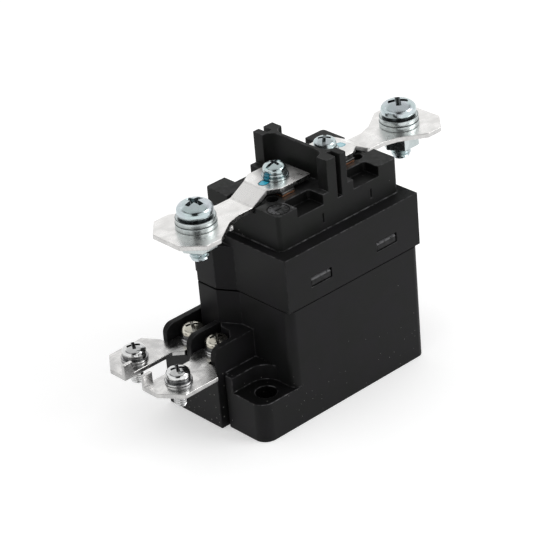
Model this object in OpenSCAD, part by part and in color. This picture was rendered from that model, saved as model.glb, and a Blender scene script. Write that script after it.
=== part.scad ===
// Plunger type starter relay with two busbars on top and a two-pole coil terminal at one short end.
// Sizes in millimetres. Z points up, X runs along the busbars, Y across them.
// The origin is the middle of the body's underside.

/* [Body] */
// Length of the body along X
body_l = 52; // [51:0.5:58]
// Width of the body along Y
body_w = 39; // [38:0.5:44]
// Height of the lower case up to the seam
case_h = 37; // [36:0.5:42]
// Height of the cover above the seam
cover_h = 17.2; // [16.4:0.2:20]
// Wall of the lower case
case_wall = 3; // [2.6:0.1:3.4]
// Floor of the lower case
floor_t = 2.6; // [2:0.1:3.4]
// Radius of the lower case's upright corners
corner_r = 2.5; // [1:0.25:3]
// Wall of the cover's sides
cover_wall = 2; // [1.7:0.1:2.3]
// Thickness of the cover's top
cover_roof = 2.2; // [1.6:0.1:2.8]
// How far the cover stands proud of the lower case
cover_lip = 0.3; // [0.1:0.05:0.5]
// Height of the shadow groove at the cover's foot
seam_h = 0.4; // [0.2:0.1:0.8]
// Depth of the shadow groove
seam_d = 0.6; // [0.3:0.1:0.8]
// Height of the collar that guides the cover
collar_h = 10; // [9.4:0.1:10.6]
// Gap between the collar and the cover
collar_gap = 0.1; // [0.05:0.05:0.2]

/* [Snap latches] */
// Distance of each latch from the middle
latch_x = 13; // [8:0.5:16]
// Width of a latch tongue
latch_w = 7.6; // [5:0.2:9]
// Height of a latch tongue
latch_h = 2.7; // [2:0.1:3.4]
// Height of the tongues' lower edge above the seam
latch_up = 5.2; // [4:0.1:5.8]
// Gap around a tongue in its window
latch_gap = 0.2; // [0.1:0.05:0.3]

/* [Feet] */
// How far a foot stands out along X
foot_out = 13; // [11:0.5:16]
// Height of a foot's pad
foot_h = 12.6; // [9:0.2:15]
// Y of the wall face beside a foot's pad
foot_wall_y = 7.2; // [6.4:0.1:8]
// Height of the wall beside the pad
foot_wall_h = 17.4; // [16:0.2:19]
// Radius of the pad's inner corner
foot_in_r = 5.5; // [3:0.25:6]
// Radius of a foot's outer corner
foot_out_r = 4; // [2:0.25:5]
// Width of the upright groove between the foot's wall and the coil terminal
groove_w = 1; // [0.6:0.1:1.4]
// Depth of that groove
groove_d = 1.2; // [0.6:0.1:1.6]
// Diameter of a mounting hole
foot_hole_d = 6.5; // [4.5:0.1:7]
// X of a mounting hole from the body's end
foot_hole_out = 6.3; // [6:0.1:7]
// Y of a mounting hole from the middle
foot_hole_y = 13.9; // [13:0.1:14.5]

/* [Coil terminal] */
// Width of the coil terminal block along Y
term_w = 22.8; // [22:0.2:24]
// How far the terminal block stands out along X
term_out = 15.1; // [14.5:0.1:17]
// Height of the terminal shelf
shelf_h = 19.6; // [18:0.1:21]
// Height of the barriers above the shelf
barrier_up = 6.7; // [5:0.1:8]
// Thickness of a barrier
barrier_t = 2; // [1.6:0.1:2.4]
// Radius of a barrier's front top corner
barrier_r = 3; // [1:0.25:4]
// Gap between a coil plate's inner end and the raised shoulder behind it
shoulder_gap = 0.2; // [0.1:0.05:0.4]
// Shelf thickness above the nut pockets
shelf_t = 2.2; // [1.8:0.1:3]
// Distance of the inner coil screws from the body's end
coil_screw_out = 8.8; // [8.6:0.1:9.4]
// Thickness of a coil plate
coil_plate_t = 1.4; // [1:0.1:1.8]
// Width of the plate where it lies between two barriers
coil_plate_in_w = 7.6; // [6.8:0.1:7.8]
// Distance of the plates' facing edges from their middle line
coil_plate_y0 = 3.7; // [3:0.1:4.2]
// Distance of the plates' outer edges from their middle line
coil_plate_y1 = 16.8; // [15:0.1:18]
// How far the plates reach beyond the terminal block
coil_plate_out = 21; // [19:0.2:24]
// Distance of the outer coil screws from the plates' ends
coil_hole_in = 8.7; // [7.5:0.1:9.5]
// Y of the outer coil screws from the middle line
coil_hole_y = 9.6; // [9:0.1:10.5]
// Height of the small turned-up lug on each plate
lug_h = 3.6; // [1:0.1:5]
// Length of the small turned-up lug
lug_l = 3.4; // [2:0.1:4]
// Thickness of a coil lead tab
tab_t = 0.5; // [0.3:0.05:0.8]
// Width of a coil lead tab
tab_w = 5; // [4:0.1:6]

/* [Bulge over the terminal] */
// How far the bulge stands out along X
bulge_out = 3.6; // [3:0.1:4.2]
// Y where the front of the bulge begins
bulge_y0 = 7.2; // [6.4:0.1:8]
// Y where the front of the bulge ends
bulge_y1 = 15.1; // [14.4:0.1:15.6]
// Run of the slanted near side along Y
bulge_run = 6; // [5:0.1:6.4]
// Run of the slanted far side along Y
bulge_run2 = 3.6; // [2:0.1:3.6]
// Distance of the bulge's top below the cover's top
bulge_drop = 2.7; // [2.4:0.1:4]
// Wall of the bulge
bulge_wall = 2.2; // [1.8:0.1:2.4]

/* [Contact block] */
// Length of the plinth along X
plinth_l = 46.6; // [45:0.2:46.6]
// Width of the plinth along Y
plinth_w = 30.2; // [29:0.2:30.6]
// Radius of the plinth's upright corners
plinth_r = 1.2; // [0.6:0.1:2]
// Height of the plinth above the cover
plinth_up = 11; // [10:0.2:14]
// Gap between the plinth and the cover's opening
plinth_gap = 0.15; // [0.1:0.05:0.3]
// Thickness of the plinth above the contact chamber
plinth_roof = 9.6; // [9.4:0.1:9.8]
// Thickness of the flange below the cover's top
flange_t = 2; // [1.4:0.1:2.4]
// Wall of the contact chamber
chamber_wall = 2.2; // [1.8:0.1:2.6]
// Gap between the chamber and the lower case
chamber_gap = 1.2; // [0.8:0.1:1.6]
// X where a side pocket begins
pocket_x0 = 6; // [5.6:0.1:7]
// X where a side pocket ends
pocket_x1 = 15.9; // [14:0.1:17]
// Y where a side pocket begins
pocket_y = 9.4; // [8.8:0.1:10]
// Depth of a side pocket
pocket_d = 3; // [1:0.1:4]
// Height of the barrier wall above the plinth
wall_up = 9.8; // [6:0.2:14]
// Thickness of the barrier wall
wall_t = 1.2; // [1:0.1:2]
// Half width of the barrier's end blocks along X
block_hw = 3.8; // [3:0.1:4]
// Length of an end block along Y
block_l = 4; // [3.4:0.1:4.6]
// X of the near end block's upright slot from the block's middle
slot_x = 0.6; // [-0.8:0.1:0.8]
// Width of the upright slot in an end block
slot_w = 1.7; // [1.2:0.1:2.4]
// Depth of the upright slot
slot_d = 3.6; // [2:0.1:3.6]
// How far the slot reaches below the plinth's top
slot_down = 3.2; // [1:0.1:4]
// Radius of a side pocket's inner corners
pocket_r = 1; // [0.4:0.1:1.4]
// X of the round core holes beside the busbars
core_hole_x = 16.5; // [16:0.1:17]
// Y of the round core holes
core_hole_y = 5.6; // [5.2:0.1:6]
// Diameter of a round core hole
core_hole_d = 3.6; // [3:0.1:4]
// Depth of a round core hole
core_hole_l = 3; // [2:0.1:4]
// Outer diameter of the moulded dial mark
dial_d = 6.6; // [4:0.2:7]
// X of the slit on the dial's side of the barrier
slit_x0 = -6.4; // [-8:0.1:-5.6]
// X of the slit on the other side of the barrier
slit_x1 = 12.5; // [10:0.1:14]
// Width of a slit
slit_w = 0.6; // [0.4:0.1:0.8]
// Height of a slit
slit_h = 3; // [2:0.1:4]
// Distance of the slits' lower ends below the plinth's top
slit_down = 8.7; // [8:0.1:9.4]

/* [Busbars] */
// Thickness of a busbar
bus_t = 1.5; // [1.2:0.1:2]
// Distance of the outer screws from the middle
main_x = 39.9; // [39:0.1:43]
// How far a pad reaches beyond its outer screw
pad_end = 11.3; // [9:0.1:13]
// How far a pad reaches back from its outer screw
pad_back = 0.8; // [0:0.1:3]
// Width of an outer pad
pad_w = 22.4; // [19:0.2:25]
// Width of the pad's end edge
pad_end_w = 11; // [8:0.2:14]
// Length of the cut corners along X
pad_cut = 5.2; // [3:0.1:6.5]
// Width of the neck
neck_w = 9.4; // [8:0.2:11]
// Rise of the busbar from the outer to the inner pad
bus_rise = 3.1; // [2.6:0.1:3.6]
// X where the rise begins
rise_x0 = 23.2; // [23:0.1:24]
// X where the rise ends
rise_x1 = 17.6; // [17:0.1:18.4]
// Width of the inner pad
inner_w = 13.9; // [12:0.1:14.4]
// X of the inner pad's end
inner_x0 = 2.6; // [1.6:0.1:3.4]
// X of the clamp screws
clamp_x = 9.9; // [9.6:0.1:10.2]
// Height of the turned-down lug at the neck
bus_lug_h = 1.4; // [1:0.1:4]
// Length of the turned-down lug
bus_lug_l = 1.2; // [0.8:0.1:3]

/* [Contacts] */
// Thickness of a fixed contact strap
strap_t = 1.3; // [1:0.1:1.5]
// Width of the strap's pad below the busbar
strap_pad_w = 14.9; // [13:0.1:15]
// Width of the strap's leg and foot
strap_w = 8; // [6:0.1:9]
// X of the strap's inner face
strap_x0 = 4.6; // [4.4:0.1:4.8]
// X where the strap ends
strap_x1 = 14.2; // [13.8:0.1:15]
// Length of the strap's wide end
strap_end_l = 4.8; // [4:0.1:6]
// X of the contact tips
tip_x = 11; // [9:0.1:11.4]
// Diameter of a contact tip
tip_d = 5; // [3:0.1:5.6]
// Height of a contact tip
tip_h = 0.9; // [0.5:0.1:1.2]
// Gap between the open contacts
contact_gap = 1.8; // [1.4:0.1:2.2]
// Plunger travel left after the contacts touch
overtravel = 0.6; // [0.3:0.1:0.8]
// Thickness of the contact bridge
bridge_t = 1.6; // [1.2:0.1:2]
// Width of the contact bridge
bridge_w = 8; // [7:0.2:10]
// How far the bridge reaches beyond its tips
bridge_end = 3.2; // [2.8:0.1:4]
// Length of the contact spring
contact_spring_l = 5.5; // [4.6:0.1:6]

/* [Magnet] */
// Thickness of the yoke and of the pole plate
yoke_t = 2.5; // [2:0.1:3]
// Width of the yoke along Y
yoke_w = 20; // [16:0.5:20]
// Gap between the magnet and the case
magnet_gap = 0.4; // [0.3:0.1:0.6]
// Distance of the pole plate's underside below the seam
pole_drop = 1; // [0.6:0.1:1.4]
// Diameter of the plunger
plunger_d = 13.2; // [12:0.1:14]
// Running gap round the plunger
plunger_gap = 0.08; // [0.04:0.01:0.1]
// Length of the fixed core below the pole plate
core_l = 12; // [10:0.5:14]
// Thickness of the rubber bumper
bumper_t = 2.3; // [1.5:0.1:3]
// Wall of the guide tube
tube_t = 0.4; // [0.3:0.05:0.6]
// Wall of the bobbin's barrel
barrel_t = 1; // [0.8:0.1:1.5]
// Thickness of a bobbin flange
flange_b = 1.5; // [1:0.1:2]
// Distance from the flange's rim to the winding
winding_in = 1; // [0.8:0.1:2]
// Thickness of the tape round the winding
tape_t = 0.4; // [0.2:0.05:0.6]
// Diameter of the push rod
rod_d = 4; // [3.4:0.1:4.2]
// Wire diameter of the return spring
return_wire = 0.8; // [0.6:0.05:1]
// Outer diameter of the return spring
return_d = 8.4; // [8:0.1:8.8]
// Depth of the spring's seat in the plunger
seat_plunger = 6; // [5:0.1:7]
// Depth of the spring's seat in the core
seat_core = 4; // [3:0.1:5]
// Wire diameter of the contact spring
contact_wire = 0.8; // [0.6:0.05:0.9]
// Outer diameter of the contact spring
contact_d = 7.6; // [7:0.1:8]
// Diameter of a coil lead wire
lead_d = 0.8; // [0.6:0.1:1]

/* [Screws] */
// Thread diameter of the two large screws
main_d = 6; // [5:0.5:6]
// Head diameter of the large screws
main_head_d = 10.5; // [9:0.1:11]
// Head height of the large screws
main_head_h = 3.9; // [3:0.1:4.2]
// Length of the large screws below the head
main_len = 14.4; // [12:0.2:16]
// Diameter of the large screws' washers
main_washer_d = 11.9; // [11.2:0.1:12.6]
// Thickness of each of the large screws' washers
main_washer_t = 1.6; // [1.2:0.1:1.8]
// Width across flats of the large nuts
main_nut_af = 10; // [9:0.5:11]
// Thickness of the large nuts
main_nut_t = 5; // [4:0.2:6]
// Thread diameter of the small screws
small_d = 4; // [3.5:0.5:4]
// Head diameter of the small screws
small_head_d = 7; // [6:0.1:7.4]
// Head height of the small screws
small_head_h = 2.6; // [2:0.1:3]
// Diameter of the small screws' washers
small_washer_d = 8; // [7.4:0.1:8]
// Thickness of the small screws' flat washers
small_flat_t = 0.8; // [0.5:0.1:1]
// Thickness of the small screws' spring washers
small_split_t = 1; // [0.8:0.1:1.1]
// Length of the clamp screws below the head
clamp_len = 9.6; // [8:0.2:10]
// Length of the outer coil screws below the head
coil_out_len = 9.6; // [8:0.2:12]
// Length of the inner coil screws below the head
coil_in_len = 8; // [7:0.2:8.6]
// Diameter of the brass inserts
insert_d = 6; // [5.6:0.1:6.2]
// Length of the brass inserts
insert_l = 6.6; // [5:0.1:6.8]
// Width of the square nuts
square_nut_w = 7; // [6:0.1:7.4]
// Thickness of the square nuts
square_nut_t = 3.2; // [2:0.1:3.6]

/* [Hidden] */
$fn = 64;
// A little more than zero, so that cuts reach through
eps = 0.01;
// Gap of a pressed or screwed fit between two pieces
fit = 0.02;
// Gap between a thread and its clearance hole
hole_gap = 0.2;

// Half sizes of the body and of its inside
hx = body_l / 2;
hy = body_w / 2;
ix = hx - case_wall;
iy = hy - case_wall;
// Half sizes of the cover and of its inside
cx = hx + cover_lip;
cy = hy + cover_lip;
cix = cx - cover_wall;
ciy = cy - cover_wall;
cover_top = case_h + cover_h;
plinth_top = cover_top + plinth_up;
flange_top = cover_top - cover_roof;

// Coil terminal: middle line, slot pitch and heights
term_y1 = hy;
term_y0 = term_y1 - term_w;
term_y = (term_y0 + term_y1) / 2;
term_pitch = (term_w - barrier_t) / 2;
term_x = -hx - term_out;
coil_screw_x = -hx - coil_screw_out;
shoulder_x = coil_screw_x + small_washer_d / 2;
coil_plate_x1 = shoulder_x - shoulder_gap;
coil_end_x = term_x - coil_plate_out;
coil_hole_x = coil_end_x + coil_hole_in;
coil_plate_z = shelf_h + tab_t;
coil_top = coil_plate_z + coil_plate_t;
nut_z = shelf_h - shelf_t - square_nut_t;
// The lead tabs end beside the yoke
tab_x1 = -ix - 0.4;
tab_x0 = coil_screw_x - small_d / 2 - 1.8;

// Magnet heights, from the floor up
yoke_hx = ix - magnet_gap;
yoke_z = floor_t + yoke_t;
pole_z = case_h - pole_drop;
pole_top = pole_z + yoke_t;
core_z = pole_z - core_l;
stroke = contact_gap + overtravel;
// The plunger stops this far below the core when it is pulled in
stick_gap = 0.1;
plunger_top = core_z - stroke - stick_gap;
plunger_z = yoke_z + bumper_t + 0.05;
tube_id = plunger_d + 2 * plunger_gap;
tube_od = tube_id + 2 * tube_t;
barrel_id = tube_od + 2 * fit;
flange_r = iy - magnet_gap;
winding_r = flange_r - winding_in;
bobbin_z = yoke_z + fit;
bobbin_h = pole_z - yoke_z - 2 * fit;
seat_d = return_d + 1;
rod_bore = rod_d + 0.8;
core_neck_d = 9;
core_head_d = 11;
core_head_h = 0.7;

// Contact heights, from the plinth's top down
ceiling = plinth_top - plinth_roof;
fixed_tip_z = ceiling - strap_t - tip_h;
bridge_top = fixed_tip_z - contact_gap - tip_h;
bridge_z = bridge_top - bridge_t;
bush_flange = bridge_t * 0.625;
bush_d = rod_d * 1.5;
bush_flange_d = contact_d * 1.18;
bush_z = bridge_z - bush_flange;
bush_top = bridge_top + bush_flange;
clip_t = 0.6;
clip_d = rod_d * 1.9;
rod_top = bush_top + clip_t + 0.7;
rod_z = plunger_z + 2;
seat_t = 0.8;
seat_z = bush_z - contact_spring_l - seat_t;

// Busbar heights, from the plinth's top
inner_z = plinth_top + strap_t;
inner_top = inner_z + bus_t;
pad_z = inner_z - bus_rise;
pad_top = pad_z + bus_t;
pad_x1 = main_x + pad_end;

// Screw stacks
main_under = pad_top + 2 * main_washer_t + 0.7;
small_stack = small_flat_t + small_split_t;

// A flat rounded rectangle, in the plane
module rounded(l, w, r) {
    square([l - 2 * r, w], center = true);
    square([l, w - 2 * r], center = true);
    for (sx = [-1, 1], sy = [-1, 1]) {
        translate([sx * (l / 2 - r), sy * (w / 2 - r)]) circle(r);
    }
}

// A box given by its two corners
module block(a, b) {
    translate(a) cube(b - a);
}

// A tube standing on the plane z = 0
module tube(od, id, h) {
    difference() {
        cylinder(d = od, h = h);
        translate([0, 0, -1]) cylinder(d = id, h = h + 2);
    }
}

// Two copies, the second turned half round the upright axis
module twice() {
    children();
    rotate([0, 0, 180]) children();
}

// Two copies, one on each side of the coil terminal's middle line
module coil_pair() {
    translate([0, term_y, 0]) children();
    translate([0, term_y, 0]) mirror([0, 1, 0]) children();
}

// Round wire wound into a spring between two heights
function ring_point(r, a, z, w, b) = [(r + w * cos(b)) * cos(a), (r + w * cos(b)) * sin(a), z + w * sin(b)];
module spring(od, wire, z0, z1, turns) {
    steps = 20;
    sides = 8;
    n = round(turns * steps);
    r = (od - wire) / 2;
    rise = z1 - z0 - wire;
    pts = [for (i = [0:n], j = [0:sides - 1])
        ring_point(r, i * 360 / steps, z0 + wire / 2 + rise * i / n, wire / 2, j * 360 / sides)];
    walls = [for (i = [0:n - 1], j = [0:sides - 1])
        let (k = (j + 1) % sides)
        [i * sides + j, (i + 1) * sides + j, (i + 1) * sides + k, i * sides + k]];
    first = [[for (j = [0:sides - 1]) j]];
    last = [[for (j = [sides - 1:-1:0]) n * sides + j]];
    polyhedron(points = pts, faces = concat(walls, first, last), convexity = 6);
}

// Pan head screw, its head resting on z = 0 and its shank pointing down
module pan_screw(d, head_d, head_h, len, slotted) {
    recess_d = head_d * 0.62;
    recess_h = head_h * 0.6;
    wing = head_d * 0.13;
    dome = head_d * 0.72;
    point = d * 0.25;
    difference() {
        intersection() {
            cylinder(d = head_d, h = head_h);
            translate([0, 0, head_h - dome]) sphere(dome, $fn = 96);
        }
        translate([0, 0, head_h - recess_h]) intersection() {
            union() {
                translate([-recess_d / 2, -wing / 2, 0]) cube([recess_d, wing, recess_h + 1]);
                translate([-wing / 2, -recess_d / 2, 0]) cube([wing, recess_d, recess_h + 1]);
            }
            cylinder(d1 = recess_d * 0.5, d2 = recess_d, h = recess_h + eps);
        }
        if (slotted) {
            translate([-head_d, -wing / 2, head_h * 0.62]) cube([2 * head_d, wing, head_h]);
        }
    }
    translate([0, 0, -len + point]) cylinder(d = d, h = len - point + eps);
    translate([0, 0, -len]) cylinder(d1 = d * 0.78, d2 = d, h = point);
}

// Split spring washer
module split_washer(od, id, h) {
    difference() {
        tube(od, id, h);
        rotate([0, 0, 40]) translate([0, -0.4, -1]) cube([od, 0.8, h + 2]);
    }
}

// Plan of the bulge: its outer shape, or its inside when inset by a wall
module bulge_plan(inset, back) {
    slope = bulge_out / bulge_run;
    shift = inset * sqrt(1 + 1 / (slope * slope));
    slope2 = bulge_out / bulge_run2;
    shift2 = inset * sqrt(1 + 1 / (slope2 * slope2));
    front = -hx - bulge_out + inset;
    near = bulge_y0 - inset / slope + shift;
    far = bulge_y1 + inset / slope2 - shift2;
    reach = back - front;
    polygon([[front, near], [front, far], [back, far + reach / slope2], [back, near - reach / slope]]);
}

// Foot at one corner, with its wall and its inner corner blended to the body
module foot_solid() {
    end_x = -hx - foot_out;
    r_x = -hx - foot_in_r;
    r_y = -foot_wall_y - foot_in_r;
    difference() {
        union() {
            block([end_x + foot_out_r, -hy, 0], [-hx + corner_r + 1, -foot_wall_y + eps, foot_h]);
            block([end_x, -hy + foot_out_r, 0], [-hx + 1, -foot_wall_y + eps, foot_h]);
            translate([end_x + foot_out_r, -hy + foot_out_r, 0]) cylinder(r = foot_out_r, h = foot_h);
            block([end_x, -foot_wall_y, 0], [-hx + 1, term_y0 + eps, foot_wall_h]);
            block([r_x, r_y, 0], [-hx + 1, -foot_wall_y + eps, foot_wall_h]);
        }
        translate([r_x, r_y, foot_h]) cylinder(r = foot_in_r, h = foot_wall_h);
        block([r_x - foot_in_r - 1, r_y - foot_in_r, foot_h], [r_x, -foot_wall_y, foot_wall_h + 1]);
        block([end_x - 1, term_y0 - groove_w, -1], [end_x + groove_d, term_y0 + 1, foot_wall_h + 1]);
    }
}

module foot_hole() {
    translate([-hx - foot_hole_out, -foot_hole_y, -1]) cylinder(d = foot_hole_d, h = foot_wall_h + 2);
}

// Side shape of a barrier, drawn in X and Z, with its front top corner rounded
module barrier(y0) {
    top = shelf_h + barrier_up;
    block([term_x, y0, shelf_h - 1], [-hx + 1, y0 + barrier_t, top - barrier_r]);
    block([term_x + barrier_r, y0, shelf_h - 1], [-hx + 1, y0 + barrier_t, top]);
    translate([term_x + barrier_r, y0, top - barrier_r]) rotate([-90, 0, 0]) cylinder(r = barrier_r, h = barrier_t);
}

// Block of the coil terminal: shelf, three barriers and the shoulder next to the body
module terminal_solid() {
    block([term_x, term_y0, 0], [-hx + 1, term_y1, shelf_h]);
    for (i = [0:2]) barrier(term_y0 + i * term_pitch);
    translate([0, 0, shelf_h - 1]) linear_extrude(barrier_up + 1) polygon([
        [-hx + 1, term_y0], [shoulder_x - 2.8, term_y0], [shoulder_x - 2.8, term_y0 + barrier_t - 0.6],
        [shoulder_x, term_y0 + barrier_t + 3.1], [shoulder_x, bulge_y0 - 2],
        [-hx - bulge_out + 0.5, bulge_y0], [-hx + 1, bulge_y0]]);
}

// Hollows of the terminal block: cores from below, nut pockets and screw holes
module terminal_cuts() {
    core_x = square_nut_w / 2 + 1.4;
    core_y = term_pitch / 2 - barrier_t / 2;
    coil_pair() {
        block([coil_screw_x - core_x, term_pitch / 2 - core_y, -1],
            [coil_screw_x + core_x, term_pitch / 2 + core_y, nut_z]);
        translate([coil_screw_x, term_pitch / 2, 0]) {
            block([-square_nut_w / 2 - fit, -square_nut_w / 2 - fit, nut_z - 1],
                [square_nut_w / 2 + fit, square_nut_w / 2 + fit, nut_z + square_nut_t]);
            cylinder(d = small_d + 2 * hole_gap, h = shelf_h + 1);
        }
        block([tab_x0 - hole_gap, term_pitch / 2 - tab_w / 2 - fit, shelf_h],
            [-ix + 1, term_pitch / 2 + tab_w / 2 + fit, shelf_h + tab_t]);
    }
}

// Latch tongue on the near side: flat below, rounded above
module tongue() {
    nose = latch_h / 2;
    base_y = -ciy + collar_gap;
    tip_y = -cy + 0.25;
    translate([-latch_w / 2, 0, 0]) {
        block([0, tip_y + nose * 0.6, 0], [latch_w, base_y + 0.5, latch_h]);
        block([0, tip_y, 0], [latch_w, base_y, nose * 1.2]);
        translate([0, tip_y + nose * 0.6, nose * 1.2]) intersection() {
            rotate([0, 90, 0]) cylinder(r = nose * 0.6, h = latch_w);
            block([-1, -nose, 0], [latch_w + 1, nose, nose * 0.8]);
        }
    }
}

module case_lower() {
    color([0.14, 0.14, 0.15]) difference() {
        union() {
            linear_extrude(case_h) rounded(body_l, body_w, corner_r);
            block([-cix + collar_gap, -ciy + collar_gap, case_h - 1],
                [cix - collar_gap, ciy - collar_gap, case_h + collar_h]);
            twice() foot_solid();
            terminal_solid();
            linear_extrude(case_h) bulge_plan(0, -hx + 1);
            twice() for (sx = [-1, 1]) translate([sx * latch_x, 0, case_h + latch_up]) tongue();
        }
        block([-ix, -iy, floor_t], [ix, iy, case_h + collar_h + 1]);
        terminal_cuts();
        translate([0, 0, shelf_h]) linear_extrude(case_h + collar_h) bulge_plan(bulge_wall, -ix + 1);
        twice() foot_hole();
    }
}

module case_cover() {
    bulge_h = cover_h - bulge_drop;
    color([0.14, 0.14, 0.15]) difference() {
        union() {
            block([-cx, -cy, case_h + seam_h], [cx, cy, cover_top]);
            block([-cx + seam_d, -cy + seam_d, case_h], [cx - seam_d, cy - seam_d, cover_top]);
            translate([0, 0, case_h + seam_h]) linear_extrude(bulge_h - seam_h) bulge_plan(0, -hx + 1);
            translate([0, 0, case_h]) linear_extrude(bulge_h) bulge_plan(seam_d, -hx + 1);
        }
        block([-cix, -ciy, case_h - 1], [cix, ciy, flange_top]);
        translate([0, 0, case_h - 1]) linear_extrude(bulge_h - bulge_wall + 1) bulge_plan(bulge_wall, -cix + 1);
        translate([0, 0, flange_top - 1]) linear_extrude(cover_top - flange_top + 2)
            rounded(plinth_l + 2 * plinth_gap, plinth_w + 2 * plinth_gap, plinth_r + plinth_gap);
        for (sx = [-1, 1]) {
            block([sx * latch_x - latch_w / 2 - latch_gap, -cy - 1, case_h + latch_up - latch_gap],
                [sx * latch_x + latch_w / 2 + latch_gap, cy + 1, case_h + latch_up + latch_h + latch_gap]);
        }
    }
}

// Side shape of the busbar in X and Z
module bus_side() {
    far = pad_x1 + 1;
    polygon([[-far, pad_z], [-far, pad_top], [-rise_x0, pad_top], [-rise_x1, inner_top],
        [-inner_x0, inner_top], [-inner_x0, inner_z], [-rise_x1 + 0.1, inner_z], [-rise_x0 + 0.1, pad_z]]);
}

// Side shape of the channel in the plinth that the busbar lies in, open at the top
module channel_side() {
    polygon([[-pad_x1, pad_z - 0.2], [-rise_x0 + 0.1, pad_z - 0.2], [-rise_x1 + 0.1, inner_z - 0.2],
        [-rise_x1 + 0.1, inner_top], [-pad_x1, inner_top]]);
}

// Outline of the busbar from above
module bus_plan() {
    a = pad_w / 2;
    b = pad_end_w / 2;
    n = neck_w / 2;
    m = inner_w / 2;
    back = main_x + pad_back;
    half = [[-pad_x1, b], [-pad_x1 + pad_cut, a], [-back, a], [-back + 7.6, n + 1.4], [-back + 12, n],
        [-rise_x1, n], [-rise_x1 + 3.4, m], [-inner_x0, m]];
    polygon(concat(half, [for (i = [len(half) - 1:-1:0]) [half[i][0], -half[i][1]]]));
}

module busbar() {
    back = main_x + pad_back;
    difference() {
        intersection() {
            translate([0, 0, pad_z - 1]) linear_extrude(bus_rise + bus_t + 2) bus_plan();
            rotate([90, 0, 0]) translate([0, 0, -pad_w]) linear_extrude(2 * pad_w) bus_side();
        }
        translate([-main_x, 0, pad_z - 1]) cylinder(d = main_d + 2 * hole_gap, h = bus_t + 2);
        translate([-clamp_x, 0, inner_z - 1]) cylinder(d = small_d + 2 * hole_gap, h = bus_t + 2);
    }
    block([-back + 7.6, -neck_w / 2 - 1.4, pad_z - bus_lug_h],
        [-back + 7.6 + bus_lug_l, -neck_w / 2, pad_z + eps]);
}

// Contact strap: pad below the busbar, leg through the plinth and foot below its roof
module fixed_contact() {
    difference() {
        union() {
            block([-strap_x1, -strap_pad_w / 2, plinth_top], [-strap_x1 + strap_end_l, strap_pad_w / 2, inner_z]);
            block([-strap_x1, -strap_w / 2, plinth_top], [-strap_x0, strap_w / 2, inner_z]);
            block([-strap_x0 - strap_t, -strap_w / 2, ceiling - strap_t], [-strap_x0, strap_w / 2, inner_z]);
            block([-strap_x1, -strap_w / 2, ceiling - strap_t], [-strap_x0, strap_w / 2, ceiling]);
        }
        translate([-clamp_x, 0, plinth_top - 1]) cylinder(d = small_d + 2 * hole_gap, h = strap_t + 2);
    }
}

// Moulded dial mark: a ring, a short pointer and twelve ticks, all level with the plinth's top
module dial() {
    depth = 0.25;
    r = dial_d / 2;
    difference() {
        translate([0, 0, -depth]) tube(dial_d, dial_d - 0.7, depth + 1);
    }
    for (i = [0:11]) rotate([0, 0, i * 30]) block([r - 1.2, -0.12, -depth], [r - 0.5, 0.12, 1]);
    block([-1.2, -0.15, -depth], [1.2, 0.15, 1]);
}

// Half of the barrier's end block that blends into the wall, seen from above
module end_block_plan() {
    r = block_hw - wall_t / 2;
    y1 = plinth_w / 2;
    y0 = y1 - block_l;
    difference() {
        translate([-block_hw, -y1]) square([2 * block_hw, block_l + r]);
        for (sx = [-1, 1]) translate([sx * block_hw, -y0 + r]) circle(r);
    }
}

// Side pocket in one quarter of the plinth, its two inner corners rounded
module pocket() {
    translate([0, 0, plinth_top - pocket_d]) linear_extrude(pocket_d + 1) {
        translate([pocket_x0, pocket_y + pocket_r]) square([pocket_x1 - pocket_x0, plinth_w / 2 - pocket_y]);
        translate([pocket_x0 + pocket_r, pocket_y]) square([pocket_x1 - pocket_x0 - 2 * pocket_r, plinth_w / 2 - pocket_y]);
        for (x = [pocket_x0 + pocket_r, pocket_x1 - pocket_r]) translate([x, pocket_y + pocket_r]) circle(pocket_r);
    }
}

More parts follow.
